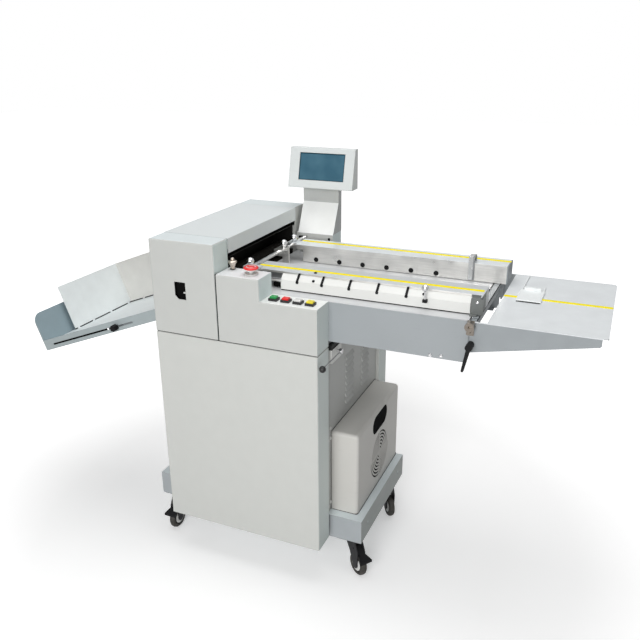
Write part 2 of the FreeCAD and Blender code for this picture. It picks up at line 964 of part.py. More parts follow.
def louvre_hood(left, low):
    """Make one pressed hood and the slot behind it."""
    face = cab_wide - side_step
    right = left + louvre_long
    outer = [(face, low), (face + louvre_proud, low), (face, low + louvre_tall)]
    inner = [
        (face - louvre_skin, low - louvre_skin), (face + louvre_proud - louvre_skin, low - louvre_skin),
        (face + louvre_proud - louvre_skin, low), (face, low + louvre_tall - 2 * louvre_skin),
        (face - louvre_skin, low + louvre_tall - 2 * louvre_skin),
    ]
    hood = prism_y(outer, left, right)
    space = prism_y(inner, left + louvre_skin, right - louvre_skin)
    slot = block(
        face - 2 * cover_sheet, face + near, left + louvre_skin, right - louvre_skin,
        low, low + louvre_tall - 2 * louvre_skin,
    )
    return hood, space, slot


def louvre_panel():
    """Make the right panel with two columns of louvres and the lever's notch."""
    face = cab_wide - side_step
    panel = block(face - cover_sheet, face, cover_deep, mirror_y(cover_deep), base_high, panel_top)
    hoods = []
    spaces = []
    for share in louvre_shares:
        for row in range(louvre_rows):
            hood, space, slot = louvre_hood(share * cab_deep, louvre_low + row * louvre_pitch)
            hoods.append(hood)
            spaces.extend([space, slot])
    panel = fuse_all([panel] + hoods)
    spaces.append(block(
        face - 2 * cover_sheet, face + cover_sheet, notch_front, notch_back,
        seam_high, panel_top + cover_sheet,
    ))
    return cut_all(panel, spaces)


def head_front_cap():
    """Make the head's front end cap with its small window and the pin seen inside it."""
    low = seam_high + seam_gap / 2
    cap = hollow(0.0, head_wide, 0.0, cover_deep, low, head_high, cover_sheet, ("y1", "z0"), cover_round)
    right = window_left + window_wide
    top = window_low + window_tall
    outline = [
        (window_left + window_chamfer, window_low), (right, window_low), (right, top), (window_left, top),
        (window_left, window_low + window_chamfer),
    ]
    cap = cap.cut(prism_y(outline, -cover_sheet, 2 * cover_sheet))
    pin = rod(
        right - window_pin_long, cover_sheet + window_pin_round, top - window_pin_drop,
        window_pin_round, window_pin_long + cover_sheet, along_x(),
    )
    stem = block(
        right, right + window_pin_long, cover_sheet, cover_sheet + 2 * window_pin_round,
        top - window_pin_drop - window_pin_round, top - window_pin_drop + window_pin_round,
    )
    flanges = returns(0.0, head_wide, cover_deep - cover_sheet, low, plate_top)
    return fuse_all([cap, pin, stem] + flanges)


def stepped(low, inset):
    """Give the outline of the block and shelf beside the head, set in all round by one sheet."""
    return [
        (block_left + inset, low + inset), (cab_wide - inset, low + inset),
        (cab_wide - inset, shelf_high - inset), (block_right - inset, shelf_high - inset),
        (block_right - inset, block_high - inset), (block_left + inset, block_high - inset),
    ]


def stepped_cover(y0, y1, inner_y):
    """Make the stepped cover beside the head, closed to the table only along its tall block."""
    low = seam_high + seam_gap / 2
    solid = prism_y(stepped(low, 0.0), y0, y1)
    toward = 1 if inner_y == y1 else -1
    edges = []
    for edge in solid.Edges:
        bound = edge.BoundBox
        outer_y = sy(y0) if toward > 0 else sy(y1)
        on_outer = abs(bound.YMin - outer_y) < near and abs(bound.YMax - outer_y) < near
        if on_outer and bound.ZMin > low + near:
            edges.append(edge)
    solid = solid.makeFillet(cover_round, edges)
    reach = 2 * cover_sheet * toward
    start = y0 + cover_sheet if toward > 0 else y0 + reach
    end = y1 + reach if toward > 0 else y1 - cover_sheet
    skin = stepped(low, cover_sheet)
    skin[0] = (skin[0][0], low - cover_sheet)
    skin[1] = (skin[1][0], low - cover_sheet)
    solid = solid.cut(prism_y(skin, start, end))
    wall_start = y1 - cover_sheet if toward > 0 else y0
    wall = block(block_left, block_right, wall_start, wall_start + cover_sheet,
                 shelf_high - cover_sheet, block_high)
    return fuse_all([solid, wall])


def control_cover():
    """Make the operator's stepped cover with holes for the stop switch, the buttons and the knob."""
    cover = stepped_cover(0.0, cover_deep, cover_deep)
    tools = [rod(stop_x, control_y, stop_body_low, stop_body_round + running, block_high, along_z())]
    for x in button_places():
        tools.append(rod(x, button_y, shelf_high - button_body_deep, button_body_round + running,
                         block_high, along_z()))
    tools.append(rod(gap_knob_x, gap_knob_y, block_high - gap_stem_deep, gap_stem_round + running,
                     block_high, along_z()))
    return cut_all(cover, tools)


def rear_head_cover():
    """Make the head's rear end cap and the stepped cover behind the table."""
    low = seam_high + seam_gap / 2
    start = mirror_y(cover_deep)
    cap = hollow(0.0, head_wide, start, cab_deep, low, head_high, cover_sheet, ("y0", "z0"), cover_round)
    cap = fuse_all([cap] + returns(0.0, head_wide, start, low, plate_top))
    return group([cap, stepped_cover(start, cab_deep, start)])


def plate_ends():
    """Give the front and rear side plates' spans in Y."""
    front = cover_deep
    back = mirror_y(cover_deep)
    return (front, front + plate_thick), (back - plate_thick, back)


def roller_levels():
    """Give the heights of the lower and upper feed roller's axes."""
    lower = shelf_high - roller_round - nip_gap / 2
    return lower, lower + 2 * roller_round + nip_gap


def crease_frame():
    """Make the two side plates of the head and the grooved anvil between them."""
    pieces = []
    spans = plate_ends()
    for y0, y1 in spans:
        plate = block(plate_left, plate_right, y0, y1, seam_high, plate_top)
        for level in roller_levels():
            plate = plate.cut(rod(roller_x, y0 - plate_thick, level, roller_shaft_round + running,
                                  3 * plate_thick, along_y()))
        half = tongue_half + tongue_gap
        plate = plate.cut(block(blade_x - half, blade_x + half, y0 - plate_thick, y1 + plate_thick,
                                carrier_low - blade_travel - tongue_gap, carrier_high + tongue_gap))
        pieces.append(plate)
    top = shelf_high - anvil_drop
    anvil = block(blade_x - anvil_half, blade_x + anvil_half, spans[0][1], spans[1][0], top - anvil_tall, top)
    groove = block(blade_x - groove_half, blade_x + groove_half, spans[0][0], spans[1][1],
                   top - groove_deep, top + groove_deep)
    pieces.append(anvil.cut(groove))
    pieces.append(lid_rest())
    return group(pieces)


def feed_roller(level):
    """Make a rubber sleeve on a shaft whose ends run in the side plates."""
    front, back = plate_ends()
    start = front[0] + touch
    end = back[1] - touch
    shaft = rod(roller_x, start, level, roller_shaft_round, end - start, along_y())
    sleeve_start = front[1] + sleeve_inset
    sleeve_end = back[0] - sleeve_inset
    sleeve = rod(roller_x, sleeve_start, level, roller_round, sleeve_end - sleeve_start, along_y())
    return fuse_all([shaft, sleeve])


def lower_feed_roller():
    """Make the lower feed roller."""
    return feed_roller(roller_levels()[0])


def upper_feed_roller():
    """Make the upper feed roller."""
    return feed_roller(roller_levels()[1])


def crease_blade():
    """Make the creasing blade on its carrier, whose tongues run in the side plates' slots."""
    front, back = plate_ends()
    start = front[1] + tongue_gap
    end = back[0] - tongue_gap
    carrier = block(blade_x - carrier_half, blade_x + carrier_half, start, end, carrier_low, carrier_high)
    blade = block(blade_x - blade_thick / 2, blade_x + blade_thick / 2, start, end, blade_low, carrier_low)
    tongues = block(blade_x - tongue_half, blade_x + tongue_half, front[0] + touch, back[1] - touch,
                    carrier_low, carrier_high)
    return fuse_all([carrier, blade, tongues])


def lid_rest():
    """Make the tie between the side plates that the closed lid lies on."""
    front, back = plate_ends()
    foot = block(rest_left, plate_right, front[0], back[1], plate_top, plate_top + cover_sheet)
    wall = block(rest_left, rest_left + cover_sheet, front[1], back[0], plate_top,
                 head_high - cover_sheet - touch)
    return fuse_all([foot, wall])


def knuckle_spans():
    """List the hinge knuckles along Y as fixed and moving spans."""
    middle = cab_deep / 2
    fixed = []
    moving = []
    reach = mirror_y(cover_deep) - cover_deep
    for side in (-1, 0, 1):
        centre = middle + side * reach / 3
        fixed.append((centre - knuckle_long / 2, centre + knuckle_long / 2))
        if side:
            inward = centre - side * (knuckle_long + knuckle_gap)
            moving.append((inward - knuckle_long / 2, inward + knuckle_long / 2))
    return fixed, moving


def lid_hinge_bar():
    """Make the bar on the side plates with the fixed knuckles and the hinge pin."""
    front, back = plate_ends()
    bar = block(hinge_bar_left, hinge_bar_right, front[0], back[1], plate_top, plate_top + hinge_bar_thick)
    pieces = [bar]
    fixed, moving = knuckle_spans()
    for start, end in fixed:
        pieces.append(rod(hinge_x, start, hinge_z, knuckle_round, end - start, along_y()))
        low = hinge_z - knuckle_round + near
        pieces.append(block(hinge_x, hinge_bar_left + near, start, end, low, hinge_z))
    pin_start = fixed[0][0]
    pin_end = fixed[-1][1]
    pieces.append(rod(hinge_x, pin_start, hinge_z, hinge_pin_round, pin_end - pin_start, along_y()))
    return fuse_all(pieces)


def lid():
    """Make the head's lid: a tray turned over, with two knuckles on the hinge pin."""
    start = cover_deep + lid_side_gap
    end = mirror_y(cover_deep) - lid_side_gap
    right = head_wide + lid_over
    outline = folded([
        (0.0, lid_flange_low), (0.0, head_high), (right, head_high), (right, lid_flange_low),
    ], -cover_sheet)
    pieces = [prism_y(outline, start, end)]
    for low in (start, end - cover_sheet):
        pieces.append(block(cover_sheet, right - cover_sheet, low, low + cover_sheet,
                            lid_flange_low + hinge_bar_thick, head_high - cover_sheet))
    for low, high in knuckle_spans()[1]:
        pieces.append(rod(hinge_x, low, hinge_z, knuckle_round, high - low, along_y()))
        web = [
            (hinge_x - knuckle_round, hinge_z), (hinge_x, hinge_z), (hinge_x, lid_flange_low),
            (cover_sheet, lid_flange_low + hinge_bar_thick), (0.0, lid_flange_low + hinge_bar_thick),
            (0.0, lid_flange_low),
        ]
        pieces.append(prism_y(web, low, high))
    shape = fuse_all(pieces)
    bore = rod(hinge_x, start, hinge_z, hinge_pin_round + running, end - start, along_y())
    return shape.cut(bore)


def button_places():
    """List the buttons' places along X."""
    return [button_left + index * button_pitch for index in range(len(button_names))]


def control_bodies():
    """Make the stop switch's collar and body and the four square button bezels."""
    collar = rod(stop_x, control_y, block_high, stop_collar_round, stop_collar_thick, along_z())
    body = rod(stop_x, control_y, stop_body_low, stop_body_round, block_high - stop_body_low, along_z())
    bore = rod(stop_x, control_y, stop_body_low - near, stop_stem_round + running, block_high, along_z())
    pieces = [fuse_all([collar, body]).cut(bore)]
    for x in button_places():
        wide = button_bezel_wide / 2
        deep = button_bezel_deep / 2
        bezel = block(x - wide, x + wide, button_y - deep, button_y + deep,
                      shelf_high, shelf_high + button_bezel_high)
        barrel = rod(x, button_y, shelf_high - button_body_deep, button_body_round,
                     button_body_deep, along_z())
        well_wide = button_cap_wide / 2 + button_cap_gap
        well_deep = button_cap_deep / 2 + button_cap_gap
        well = block(x - well_wide, x + well_wide, button_y - well_deep, button_y + well_deep,
                     shelf_high + button_bezel_high - button_well, shelf_high + 2 * button_bezel_high)
        pieces.append(fuse_all([bezel, barrel]).cut(well))
    return group(pieces)


def button_cap(index):
    """Make one square button cap with a softened top."""
    x = button_places()[index]
    wide = button_cap_wide / 2
    deep = button_cap_deep / 2
    cap = block(x - wide, x + wide, button_y - deep, button_y + deep,
                shelf_high + button_cap_low, shelf_high + button_cap_high)
    return soften(cap, button_edge, ())


def estop_head():
    """Make the mushroom head of the stop switch with its neck and stem."""
    top = stop_head_low + stop_head_edge
    dome = stop_head_low + stop_head_dome
    bevel = stop_head_edge * stop_edge_share
    profile = [
        (0, stop_stem_low), (stop_stem_round, stop_stem_low), (stop_stem_round, stop_head_low - touch),
        (stop_neck_round, stop_head_low - touch), (stop_neck_round, stop_head_low),
        (stop_head_round * stop_rim_share, stop_head_low), (stop_head_round, stop_head_low + bevel),
        (stop_head_round, top), (stop_head_round * stop_shoulder_share, dome - bevel),
        (stop_head_round * stop_crown_share, dome), (0, dome),
    ]
    return turned(profile, stop_x, control_y, 0)


def gap_knob():
    """Make the bell-shaped adjusting knob with a ball on its crown."""
    profile = [
        (0, -gap_stem_deep), (gap_stem_round, -gap_stem_deep), (gap_stem_round, touch),
        (gap_knob_foot + gap_stem_round, touch), (gap_knob_foot + gap_stem_round, gap_knob_low),
        (gap_knob_round, gap_knob_mid), (gap_knob_round, gap_knob_shoulder),
        (gap_knob_waist, gap_knob_shoulder + gap_knob_cap), (0, gap_knob_shoulder + gap_knob_cap),
    ]
    knob = turned(profile, gap_knob_x, gap_knob_y, block_high)
    top = ball(gap_knob_x, gap_knob_y, block_high + gap_knob_top, gap_knob_ball)
    return fuse_all([knob, top])


def feed_deck():
    """Make the flat deck between the two beams."""
    front = cover_deep + touch
    back = mirror_y(cover_deep) - touch
    return block(deck_left, beam_right, front, back, shelf_high - deck_thick, shelf_high)


def beam(web_front, inward):
    """Make one channel beam with a rounded lower corner at its free end."""
    top = shelf_high - deck_thick
    web_back = web_front + inward * beam_sheet
    low_y = min(web_front, web_back)
    web = block(deck_left + touch, beam_right, low_y, low_y + beam_sheet, beam_low, top)
    corner = []
    for edge in web.Edges:
        bound = edge.BoundBox
        if abs(bound.XMin - sx(beam_right)) < near and abs(bound.ZMax - beam_low) < near:
            corner.append(edge)
    web = web.makeFillet(beam_corner, corner)
    far = web_front + inward * beam_flange
    low_y = min(web_front, far)
    upper = block(deck_left + touch, beam_right, low_y, low_y + beam_flange, top - beam_sheet, top)
    lower = block(deck_left + touch, beam_right - beam_corner, low_y, low_y + beam_flange,
                  beam_low, beam_low + beam_sheet)
    return fuse_all([web, upper, lower])


def side_beams():
    """Make the two beams and the bar across the table's free end."""
    left = beam_right + end_bar_gap
    bar = block(left, left + end_bar_wide, cover_deep + beam_flange, mirror_y(cover_deep) - beam_flange,
                shelf_high - end_bar_tall, shelf_high)
    tabs = []
    for y0 in (cover_deep + beam_sheet, mirror_y(cover_deep) - beam_flange):
        tabs.append(block(beam_right - beam_flange, left + end_bar_wide, y0, y0 + beam_flange - beam_sheet,
                          shelf_high - end_bar_tall, shelf_high - deck_thick - beam_sheet))
    return group([
        beam(cover_deep, 1), beam(mirror_y(cover_deep), -1), fuse_all([bar] + tabs),
    ])


def cross_shaft():
    """Make the round shaft that carries the guides, with a pillar at each end."""
    front = cover_deep + pillar_deep
    back = mirror_y(cover_deep) - pillar_deep
    pieces = [rod(shaft_x, front, shaft_z, shaft_round, back - front, along_y())]
    for y0 in (front - pillar_deep + cover_sheet, back - cover_sheet):
        pieces.append(block(shaft_x - pillar_half, shaft_x + pillar_half, y0, y0 + pillar_deep,
                            shelf_high, clamp_high))
    return fuse_all(pieces)


def skirt(y0):
    """Make one tapered side skirt of the extension table."""
    return prism_y([
        (skirt_left, skirt_low), (skirt_heel_x, skirt_heel_z), (table_right, skirt_toe_z),
        (table_right, table_high), (skirt_left, table_high),
    ], y0, y0 + table_sheet)


def extension_table():
    """Make the extension table with tapered skirts and tongues bolted inside the beams."""
    plate = block(table_left, table_right, cover_deep, table_back, table_high - table_sheet, table_high)
    corners = []
    for edge in plate.Edges:
        bound = edge.BoundBox
        upright = bound.ZLength > table_sheet / 2
        if upright and abs(bound.XMin - sx(table_right)) < near:
            corners.append(edge)
    plate = plate.makeFillet(table_corner, corners)
    pieces = [plate]
    skirts = [skirt(cover_deep), skirt(table_back - table_sheet)]
    keep = block(skirt_left, table_right - table_corner, cover_deep, table_back, skirt_low, table_high)
    for side in skirts:
        pieces.append(side.common(keep))
    pieces.append(block(table_right - table_sheet, table_right, cover_deep + table_corner,
                        table_back - table_corner, table_high - table_end_lip, table_high))
    front = cover_deep + beam_sheet + touch
    back = mirror_y(cover_deep) - beam_sheet - touch - table_sheet
    for y0, web0, web1 in (
        (front, cover_deep, front + table_sheet), (back, back, table_back),
    ):
        pieces.append(block(tongue_left, tongue_web_right, y0, y0 + table_sheet, tongue_low, tongue_high))
        pieces.append(block(skirt_left, tongue_web_right, web0, web1, tongue_low, tongue_high))
    shape = fuse_all(pieces)
    hole = rod(lever_x, 0.0, lever_z, lever_stud_round + running, cover_deep + beam_flange, along_y())
    return shape.cut(hole)


def knob_bore(x, y):
    """Make the blind hole in a clamp block for a ball knob's stem."""
    return rod(x, y, clamp_high - ball_stem_deep - touch, ball_stem_round + running,
               ball_stem_deep + 2 * touch, along_z())


def guide_clamp(y0, right, knob_y):
    """Make the block that joins a guide to the cross shaft."""
    clamp = block(clamp_left, right, y0, y0 + clamp_deep, clamp_low, clamp_high)
    bore = rod(shaft_x, y0 - clamp_deep, shaft_z, shaft_round + running, 3 * clamp_deep, along_y())
    return clamp.cut(bore).cut(knob_bore(clamp_knob_x, knob_y))


def front_guide():
    """Make the front side guide with its shaft clamp and the end block at the table's end."""
    outer = front_guide_y - guide_flange
    outline = folded([
        (front_guide_y, guide_foot), (front_guide_y, front_guide_top), (outer, front_guide_top),
        (outer, front_guide_top - guide_lip),
    ], guide_sheet)
    sheet = prism_x(outline, front_guide_left, front_guide_right)
    clip_right = front_guide_left + guide_flange * clip_share
    clamp = guide_clamp(front_clamp_y, clip_right, front_clamp_y + clamp_deep / 2)
    clip = block(front_guide_left, clip_right, front_clamp_y, outer + guide_sheet,
                 front_guide_top - guide_lip, front_guide_top)
    rail = fuse_all([sheet, clamp, clip])
    plate = block(end_block_left, end_block_right, manifold_front - end_block_thick, manifold_front,
                  guide_foot, front_guide_top - guide_lip)
    tab = block(end_block_left, end_block_left + end_tab_wide, manifold_front - end_tab_deep, manifold_front,
                guide_foot, guide_foot + end_block_thick)
    side = block(front_guide_right, front_guide_right + end_block_thick, manifold_front, front_guide_y,
                 guide_foot, front_guide_top)
    roof_high = front_guide_top - guide_lip
    roof = block(end_block_left, end_block_right, manifold_front, outer + guide_sheet,
                 roof_high - end_block_thick, roof_high)
    return group([rail, fuse_all([plate, tab, side, roof])])


def front_manifold():
    """Make the white air cover along the front guide, closed at both ends."""
    line = [
        (manifold_front + manifold_lip, manifold_foot), (manifold_front, manifold_foot),
        (manifold_front, manifold_fold), (manifold_shoulder, manifold_top), (manifold_back, manifold_top),
    ]
    skin = prism_x(folded(line, -manifold_sheet), manifold_left, manifold_right)
    section = [
        (manifold_front, manifold_foot), (manifold_front, manifold_fold), (manifold_shoulder, manifold_top),
        (manifold_back, manifold_top), (manifold_back, manifold_foot),
    ]
    ends = [
        prism_x(section, manifold_left, manifold_left + manifold_sheet),
        prism_x(section, manifold_right - manifold_sheet, manifold_right),
    ]
    return fuse_all([skin] + ends)


def manifold_clips():
    """Make the black hooks over the air cover and the foot of the ball pin."""
    pieces = []
    line = [
        (manifold_shoulder, manifold_top), (manifold_front, manifold_fold), (manifold_front, clip_low),
    ]
    for step in clip_places:
        x = manifold_left + step
        hook = prism_x(folded(line, -clip_thick), x - clip_wide / 2, x + clip_wide / 2)
        knob = rod(x, manifold_front - clip_thick, clip_low + clip_knob_round, clip_knob_round, clip_thick,
                   along_y())
        pieces.append(fuse_all([hook, knob]))
    foot = block(stop_knob_x - stop_foot_wide / 2, stop_knob_x + stop_foot_wide / 2,
                 manifold_front - stop_foot_deep, manifold_front,
                 stop_foot_low, stop_foot_low + stop_foot_tall)
    bore_low = stop_foot_low + stop_foot_tall * stop_foot_share
    bore = rod(stop_knob_x, manifold_front - stop_foot_deep / 2, bore_low, stop_pin_round + running,
               stop_foot_tall, along_z())
    pieces.append(foot.cut(bore))
    return group(pieces)


def stop_knob():
    """Make the ball-headed pin that stands in its foot on the air cover."""
    y = manifold_front - stop_foot_deep / 2
    low = stop_foot_low + stop_foot_tall * stop_foot_share + touch
    pin = rod(stop_knob_x, y, low, stop_pin_round, stop_ball_z - low, along_z())
    return fuse_all([pin, ball(stop_knob_x, y, stop_ball_z, stop_ball_round)])


def rear_guide():
    """Make the rear side guide with its shaft clamp and the rounded end cap."""
    outer = rear_guide_y + guide_flange
    outline = folded([
        (rear_guide_y, guide_foot), (rear_guide_y, rear_guide_top), (outer, rear_guide_top),
        (outer, rear_guide_top - guide_lip),
    ], -guide_sheet)
    sheet = prism_x(outline, rear_guide_left, rear_guide_right)
    flange = block(rear_flange_left, rear_guide_left + guide_sheet, rear_guide_y, outer,
                   rear_guide_top - guide_sheet, rear_guide_top)
    clamp = guide_clamp(rear_clamp_y, rear_guide_left, rear_clamp_y + clamp_deep / 2)
    cap = block(rear_guide_right - guide_sheet, rear_guide_right, rear_guide_y + guide_sheet / 2, outer,
                guide_foot, rear_guide_top - guide_sheet / 2)
    corner = []
    for edge in cap.Edges:
        bound = edge.BoundBox
        if abs(bound.YMin - sy(outer)) < near and abs(bound.ZMax - guide_foot) < near:
            corner.append(edge)
    cap = cap.makeFillet(cap_round, corner)
    return fuse_all([sheet, flange, clamp, cap])


def rear_nozzles():
    """Make the row of round nozzles and the sensor in the rear guide's wall."""
    places = [nozzle_left + index * nozzle_pitch for index in range(nozzle_count)]
    pieces = []
    for x in places + [sensor_x]:
        pieces.append(rod(x, rear_guide_y - nozzle_long, nozzle_z, nozzle_round, nozzle_long, along_y()))
    return group(pieces)


def ball_knob(x, y):
    """Make a ball knob whose stem sits in a clamp block."""
    stem = rod(x, y, clamp_high - ball_stem_deep, ball_stem_round, ball_stem_deep + touch, along_z())
    neck = rod(x, y, clamp_high + touch, ball_neck_round, ball_high, along_z())
    return fuse_all([stem, neck, ball(x, y, clamp_high + ball_high, ball_round)])


def front_guide_knob():
    """Make the front guide's clamp knob."""
    return ball_knob(clamp_knob_x, front_clamp_y + clamp_deep / 2)


def rear_guide_knob():
    """Make the rear guide's clamp knob."""
    return ball_knob(clamp_knob_x, rear_clamp_y + clamp_deep / 2)


def separator_knob():
    """Make the separator's clamp knob."""
    return ball_knob(clamp_knob_x, separator_knob_y)


def separator():
    """Make the sheet separator: a clamp on the cross shaft with an upright plate."""
    clamp = block(clamp_left, separator_plate_left, separator_y, separator_y + separator_deep,
                  clamp_low, clamp_high)
    plate = block(separator_plate_left, separator_plate_right,
                  separator_y, separator_y + separator_plate_thick, guide_foot, clamp_high)
    shape = fuse_all([clamp, plate])
    bore = rod(shaft_x, separator_y - separator_deep, shaft_z, shaft_round + running,
               3 * separator_deep, along_y())
    return shape.cut(bore).cut(knob_bore(clamp_knob_x, separator_knob_y))


def tail_stop_arm():
    """Make the strip that hooks over the rear guide's rail."""
    face = rear_guide_y - arm_gap - arm_sheet
    line = [
        (face, arm_foot), (face, arm_top), (face + arm_back, arm_top),
        (face + arm_back, rear_guide_top + touch),
    ]
    return prism_x(folded(line, -arm_sheet), arm_left, arm_left + arm_wide)


def tail_guide():
    """Make the tail guide that lies on the extension table."""
    low = table_high + tail_lift
    plate = block(tail_left, tail_right, tail_front, tail_back, low, low + tail_thick)
    plate = soften(plate, tail_edge, ())
    ridge = block(tail_left + tail_ridge_wide, tail_right - tail_ridge_wide, tail_back - tail_ridge_wide,
                  tail_back - tail_edge, low + tail_thick / 2, low + tail_thick + tail_ridge)
    pieces = [plate, ridge]
    for x, length in (
        (tail_left + 2 * tail_edge, tail_wire_long), (tail_right - 2 * tail_edge, tail_wire_short),
    ):
        pieces.append(rod(x, tail_back - tail_ridge_wide, low + tail_thick / 2, tail_wire_round,
                          length + tail_ridge_wide, along_y()))
    return fuse_all(pieces)


def end_latch():
    """Make the latch plate at the beam's end with its roller and nut."""
    plate_front = cover_deep - touch - latch_plate_thick
    plate = block(latch_x - latch_plate_half, latch_x + latch_plate_half, plate_front,
                  plate_front + latch_plate_thick, latch_plate_low, shelf_high)
    roller = rod(latch_x, latch_front, latch_z, latch_round, plate_front - latch_front, along_y())
    roller = roller.cut(rod(latch_x, latch_front - near, latch_z, latch_bore_round,
                            (plate_front - latch_front) / 2, along_y()))
    nut = rod(latch_x - latch_nut_step, plate_front - latch_nut_long, latch_nut_z, latch_nut_round,
              latch_nut_long, along_y())
    return fuse_all([plate, roller, nut])


def clamp_lever():
    """Make the black clamp lever with its hub, tapered arm and stud."""
    hub = rod(lever_x, lever_hub_front, lever_z, lever_hub_round, cover_deep - touch - lever_hub_front,
              along_y())
    stud = rod(lever_x, lever_hub_front, lever_z, lever_stud_round,
               cover_deep + beam_sheet - lever_hub_front, along_y())
    arm = prism_y([
        (lever_x - lever_arm_root, lever_z), (lever_x - lever_arm_tip, lever_z - lever_arm_long),
        (lever_x + lever_arm_tip, lever_z - lever_arm_long), (lever_x + lever_arm_root, lever_z),
    ], lever_arm_front, lever_arm_front + lever_arm_thick)
    tip = rod(lever_x, lever_arm_front, lever_z - lever_arm_long, lever_arm_tip, lever_arm_thick, along_y())
    shape = fuse_all([hub, stud, arm, tip])
    centre = FreeCAD.Vector(sx(lever_x), 0, lever_z)
    shape.rotate(centre, along_y(), -lever_tilt)
    return shape


def lever_bracket():
    """Make the white bracket below the table with its slot and hole."""
    face = cab_wide - side_step
    shape = block(face, face + bracket_proud, bracket_front, bracket_back, bracket_low, bracket_high)
    corners = []
    for edge in shape.Edges:
        if edge.BoundBox.XLength > bracket_proud / 2:
            corners.append(edge)
    shape = shape.makeFillet(bracket_corner, corners)
    slot = block(face + bracket_proud / 2, face + 2 * bracket_proud, bracket_slot_front, bracket_slot_back,
                 bracket_slot_low, bracket_slot_high)
    hole = rod(face + bracket_proud / 2, bracket_hole_y, bracket_hole_z, bracket_hole_round,
               bracket_proud, along_x())
    pivot = rod(face + bracket_proud / 2, air_pivot_y, air_pivot_z, air_stud_round + running,
                bracket_proud, along_x())
    return cut_all(shape, [slot, hole, pivot])


def air_lever():
    """Make the air lever: a rod with a ball that swings on a stud in the bracket."""
    stud_left = cab_wide - side_step + bracket_proud / 2 + touch
    stud = rod(stud_left, air_pivot_y, air_pivot_z, air_stud_round, air_lever_x - stud_left, along_x())
    hub_left = air_lever_x - air_hub_half
    hub = rod(hub_left, air_pivot_y, air_pivot_z, air_hub_round, 2 * air_hub_half, along_x())
    arm = rod(air_lever_x, air_pivot_y - air_rod_long, air_pivot_z, air_rod_round, air_rod_long, along_y())
    end = ball(air_lever_x, air_pivot_y - air_rod_long, air_pivot_z, air_ball_round)
    return fuse_all([stud, hub, arm, end])


def grille_slots(y):
    """Make the grille's ring-shaped slots: whole rings, one lower half ring and four spokes kept."""
    left = pump_right - 2 * pump_sheet
    span = 3 * pump_sheet
    rings = []
    for index in range(grille_rings + 1):
        inner = grille_inner + index * grille_pitch
        ring = rod(left, y, grille_z, inner + grille_slot, span, along_x())
        rings.append(ring.cut(rod(left, y, grille_z, inner, span, along_x())))
    reach = grille_inner + (grille_rings + 1) * grille_pitch
    upper = block(left, left + span, y - reach, y + reach, grille_z, grille_z + reach)
    rings[-1] = rings[-1].cut(upper)
    half = grille_spoke / 2
    spokes = [
        block(left, left + span, y - half, y + half, grille_z - reach, grille_z + reach),
        block(left, left + span, y - reach, y + reach, grille_z - half, grille_z + half),
    ]
    return [cut_all(ring, spokes) for ring in rings]


def pump_box():
    """Make the pump box with its hand hole and its round grille."""
    left = cab_wide - side_step
    shape = hollow(left, pump_right, pump_front, pump_back, base_high, pump_top, pump_sheet, ("x0",),
                   pump_round)
    middle = (pump_front + pump_back) / 2 + grille_offset
    radius = hand_tall / 2
    start = pump_right - 2 * pump_sheet
    reach = hand_wide / 2 - radius
    hand = block(start, pump_right + pump_sheet, middle - reach, middle + reach,
                 hand_low, hand_low + hand_tall)
    ends = [
        rod(start, y, hand_low + radius, radius, 3 * pump_sheet, along_x())
        for y in (middle - reach, middle + reach)
    ]
    return cut_all(shape, [hand] + ends + grille_slots(middle))


def display_tower():
    """Make the display's stand: a sheet wedge that ends in a neck."""
    def outline(inset, floor_drop):
        lean = (tower_knee_y - tower_front) / (tower_knee_z - block_high)
        return [
            (tower_front + inset - floor_drop * lean, block_high - floor_drop),
            (tower_knee_y + inset, tower_knee_z), (tower_knee_y + inset, tower_top - inset),
            (cab_deep - inset, tower_top - inset), (cab_deep - inset, block_high - floor_drop),
        ]
    outer = prism_x(outline(0.0, 0.0), tower_left, block_right)
    inner = prism_x(outline(tower_sheet, tower_sheet), tower_left + tower_sheet, block_right - tower_sheet)
    return outer.cut(inner)


def lean_angle():
    """Give the display face's lean in degrees."""
    return math.degrees(math.atan2(display_lean, display_high - display_low))


def screen_solid(grow, thick, sunk):
    """Make a slab lying in the display's leaning face."""
    slab = Part.makeBox(
        screen_wide + 2 * grow, thick, screen_tall + 2 * grow,
        FreeCAD.Vector(sx(screen_left) - grow, sy(display_front) + sunk, display_low + screen_low - grow),
    )
    slab.rotate(FreeCAD.Vector(0, sy(display_front), display_low), along_x(), -lean_angle())
    return slab


def display_housing():
    """Make the wedge-shaped display housing with its screen window."""
    outline = [
        (display_front, display_low), (display_front + display_lean, display_high),
        (tower_knee_y, display_high), (tower_knee_y, display_low),
    ]
    outer = prism_x(outline, display_left, display_right)
    edges = []
    for edge in outer.Edges:
        bound = edge.BoundBox
        if bound.YMax < sy(display_front + display_lean) + near:
            edges.append(edge)
    outer = outer.makeFillet(display_sheet, edges)
    skin = display_sheet
    inner = prism_x([
        (display_front + 2 * skin, display_low + skin),
        (display_front + display_lean + skin, display_high - skin),
        (tower_knee_y - skin, display_high - skin), (tower_knee_y - skin, display_low + skin),
    ], display_left + skin, display_right - skin)
    window = screen_solid(screen_gap, 4 * skin, -skin)
    return outer.cut(inner).cut(window)


def display_screen():
    """Make the screen's glass, resting just inside the window."""
    return screen_solid(0.0, screen_thick, screen_sunk)


def at_tray(shape):
    """Tip a shape built in the tray's own frame and move it to the cabinet."""
    shape.rotate(FreeCAD.Vector(0, 0, 0), along_y(), tray_angle)
    shape.translate(FreeCAD.Vector(sx(tray_x), sy(tray_y), tray_z))
    return shape


def slab(s0, s1, y0, y1, n0, n1):
    """Make a box in the tray's own frame."""
    return Part.makeBox(s1 - s0, y1 - y0, n1 - n0, FreeCAD.Vector(s0, y0, n0))


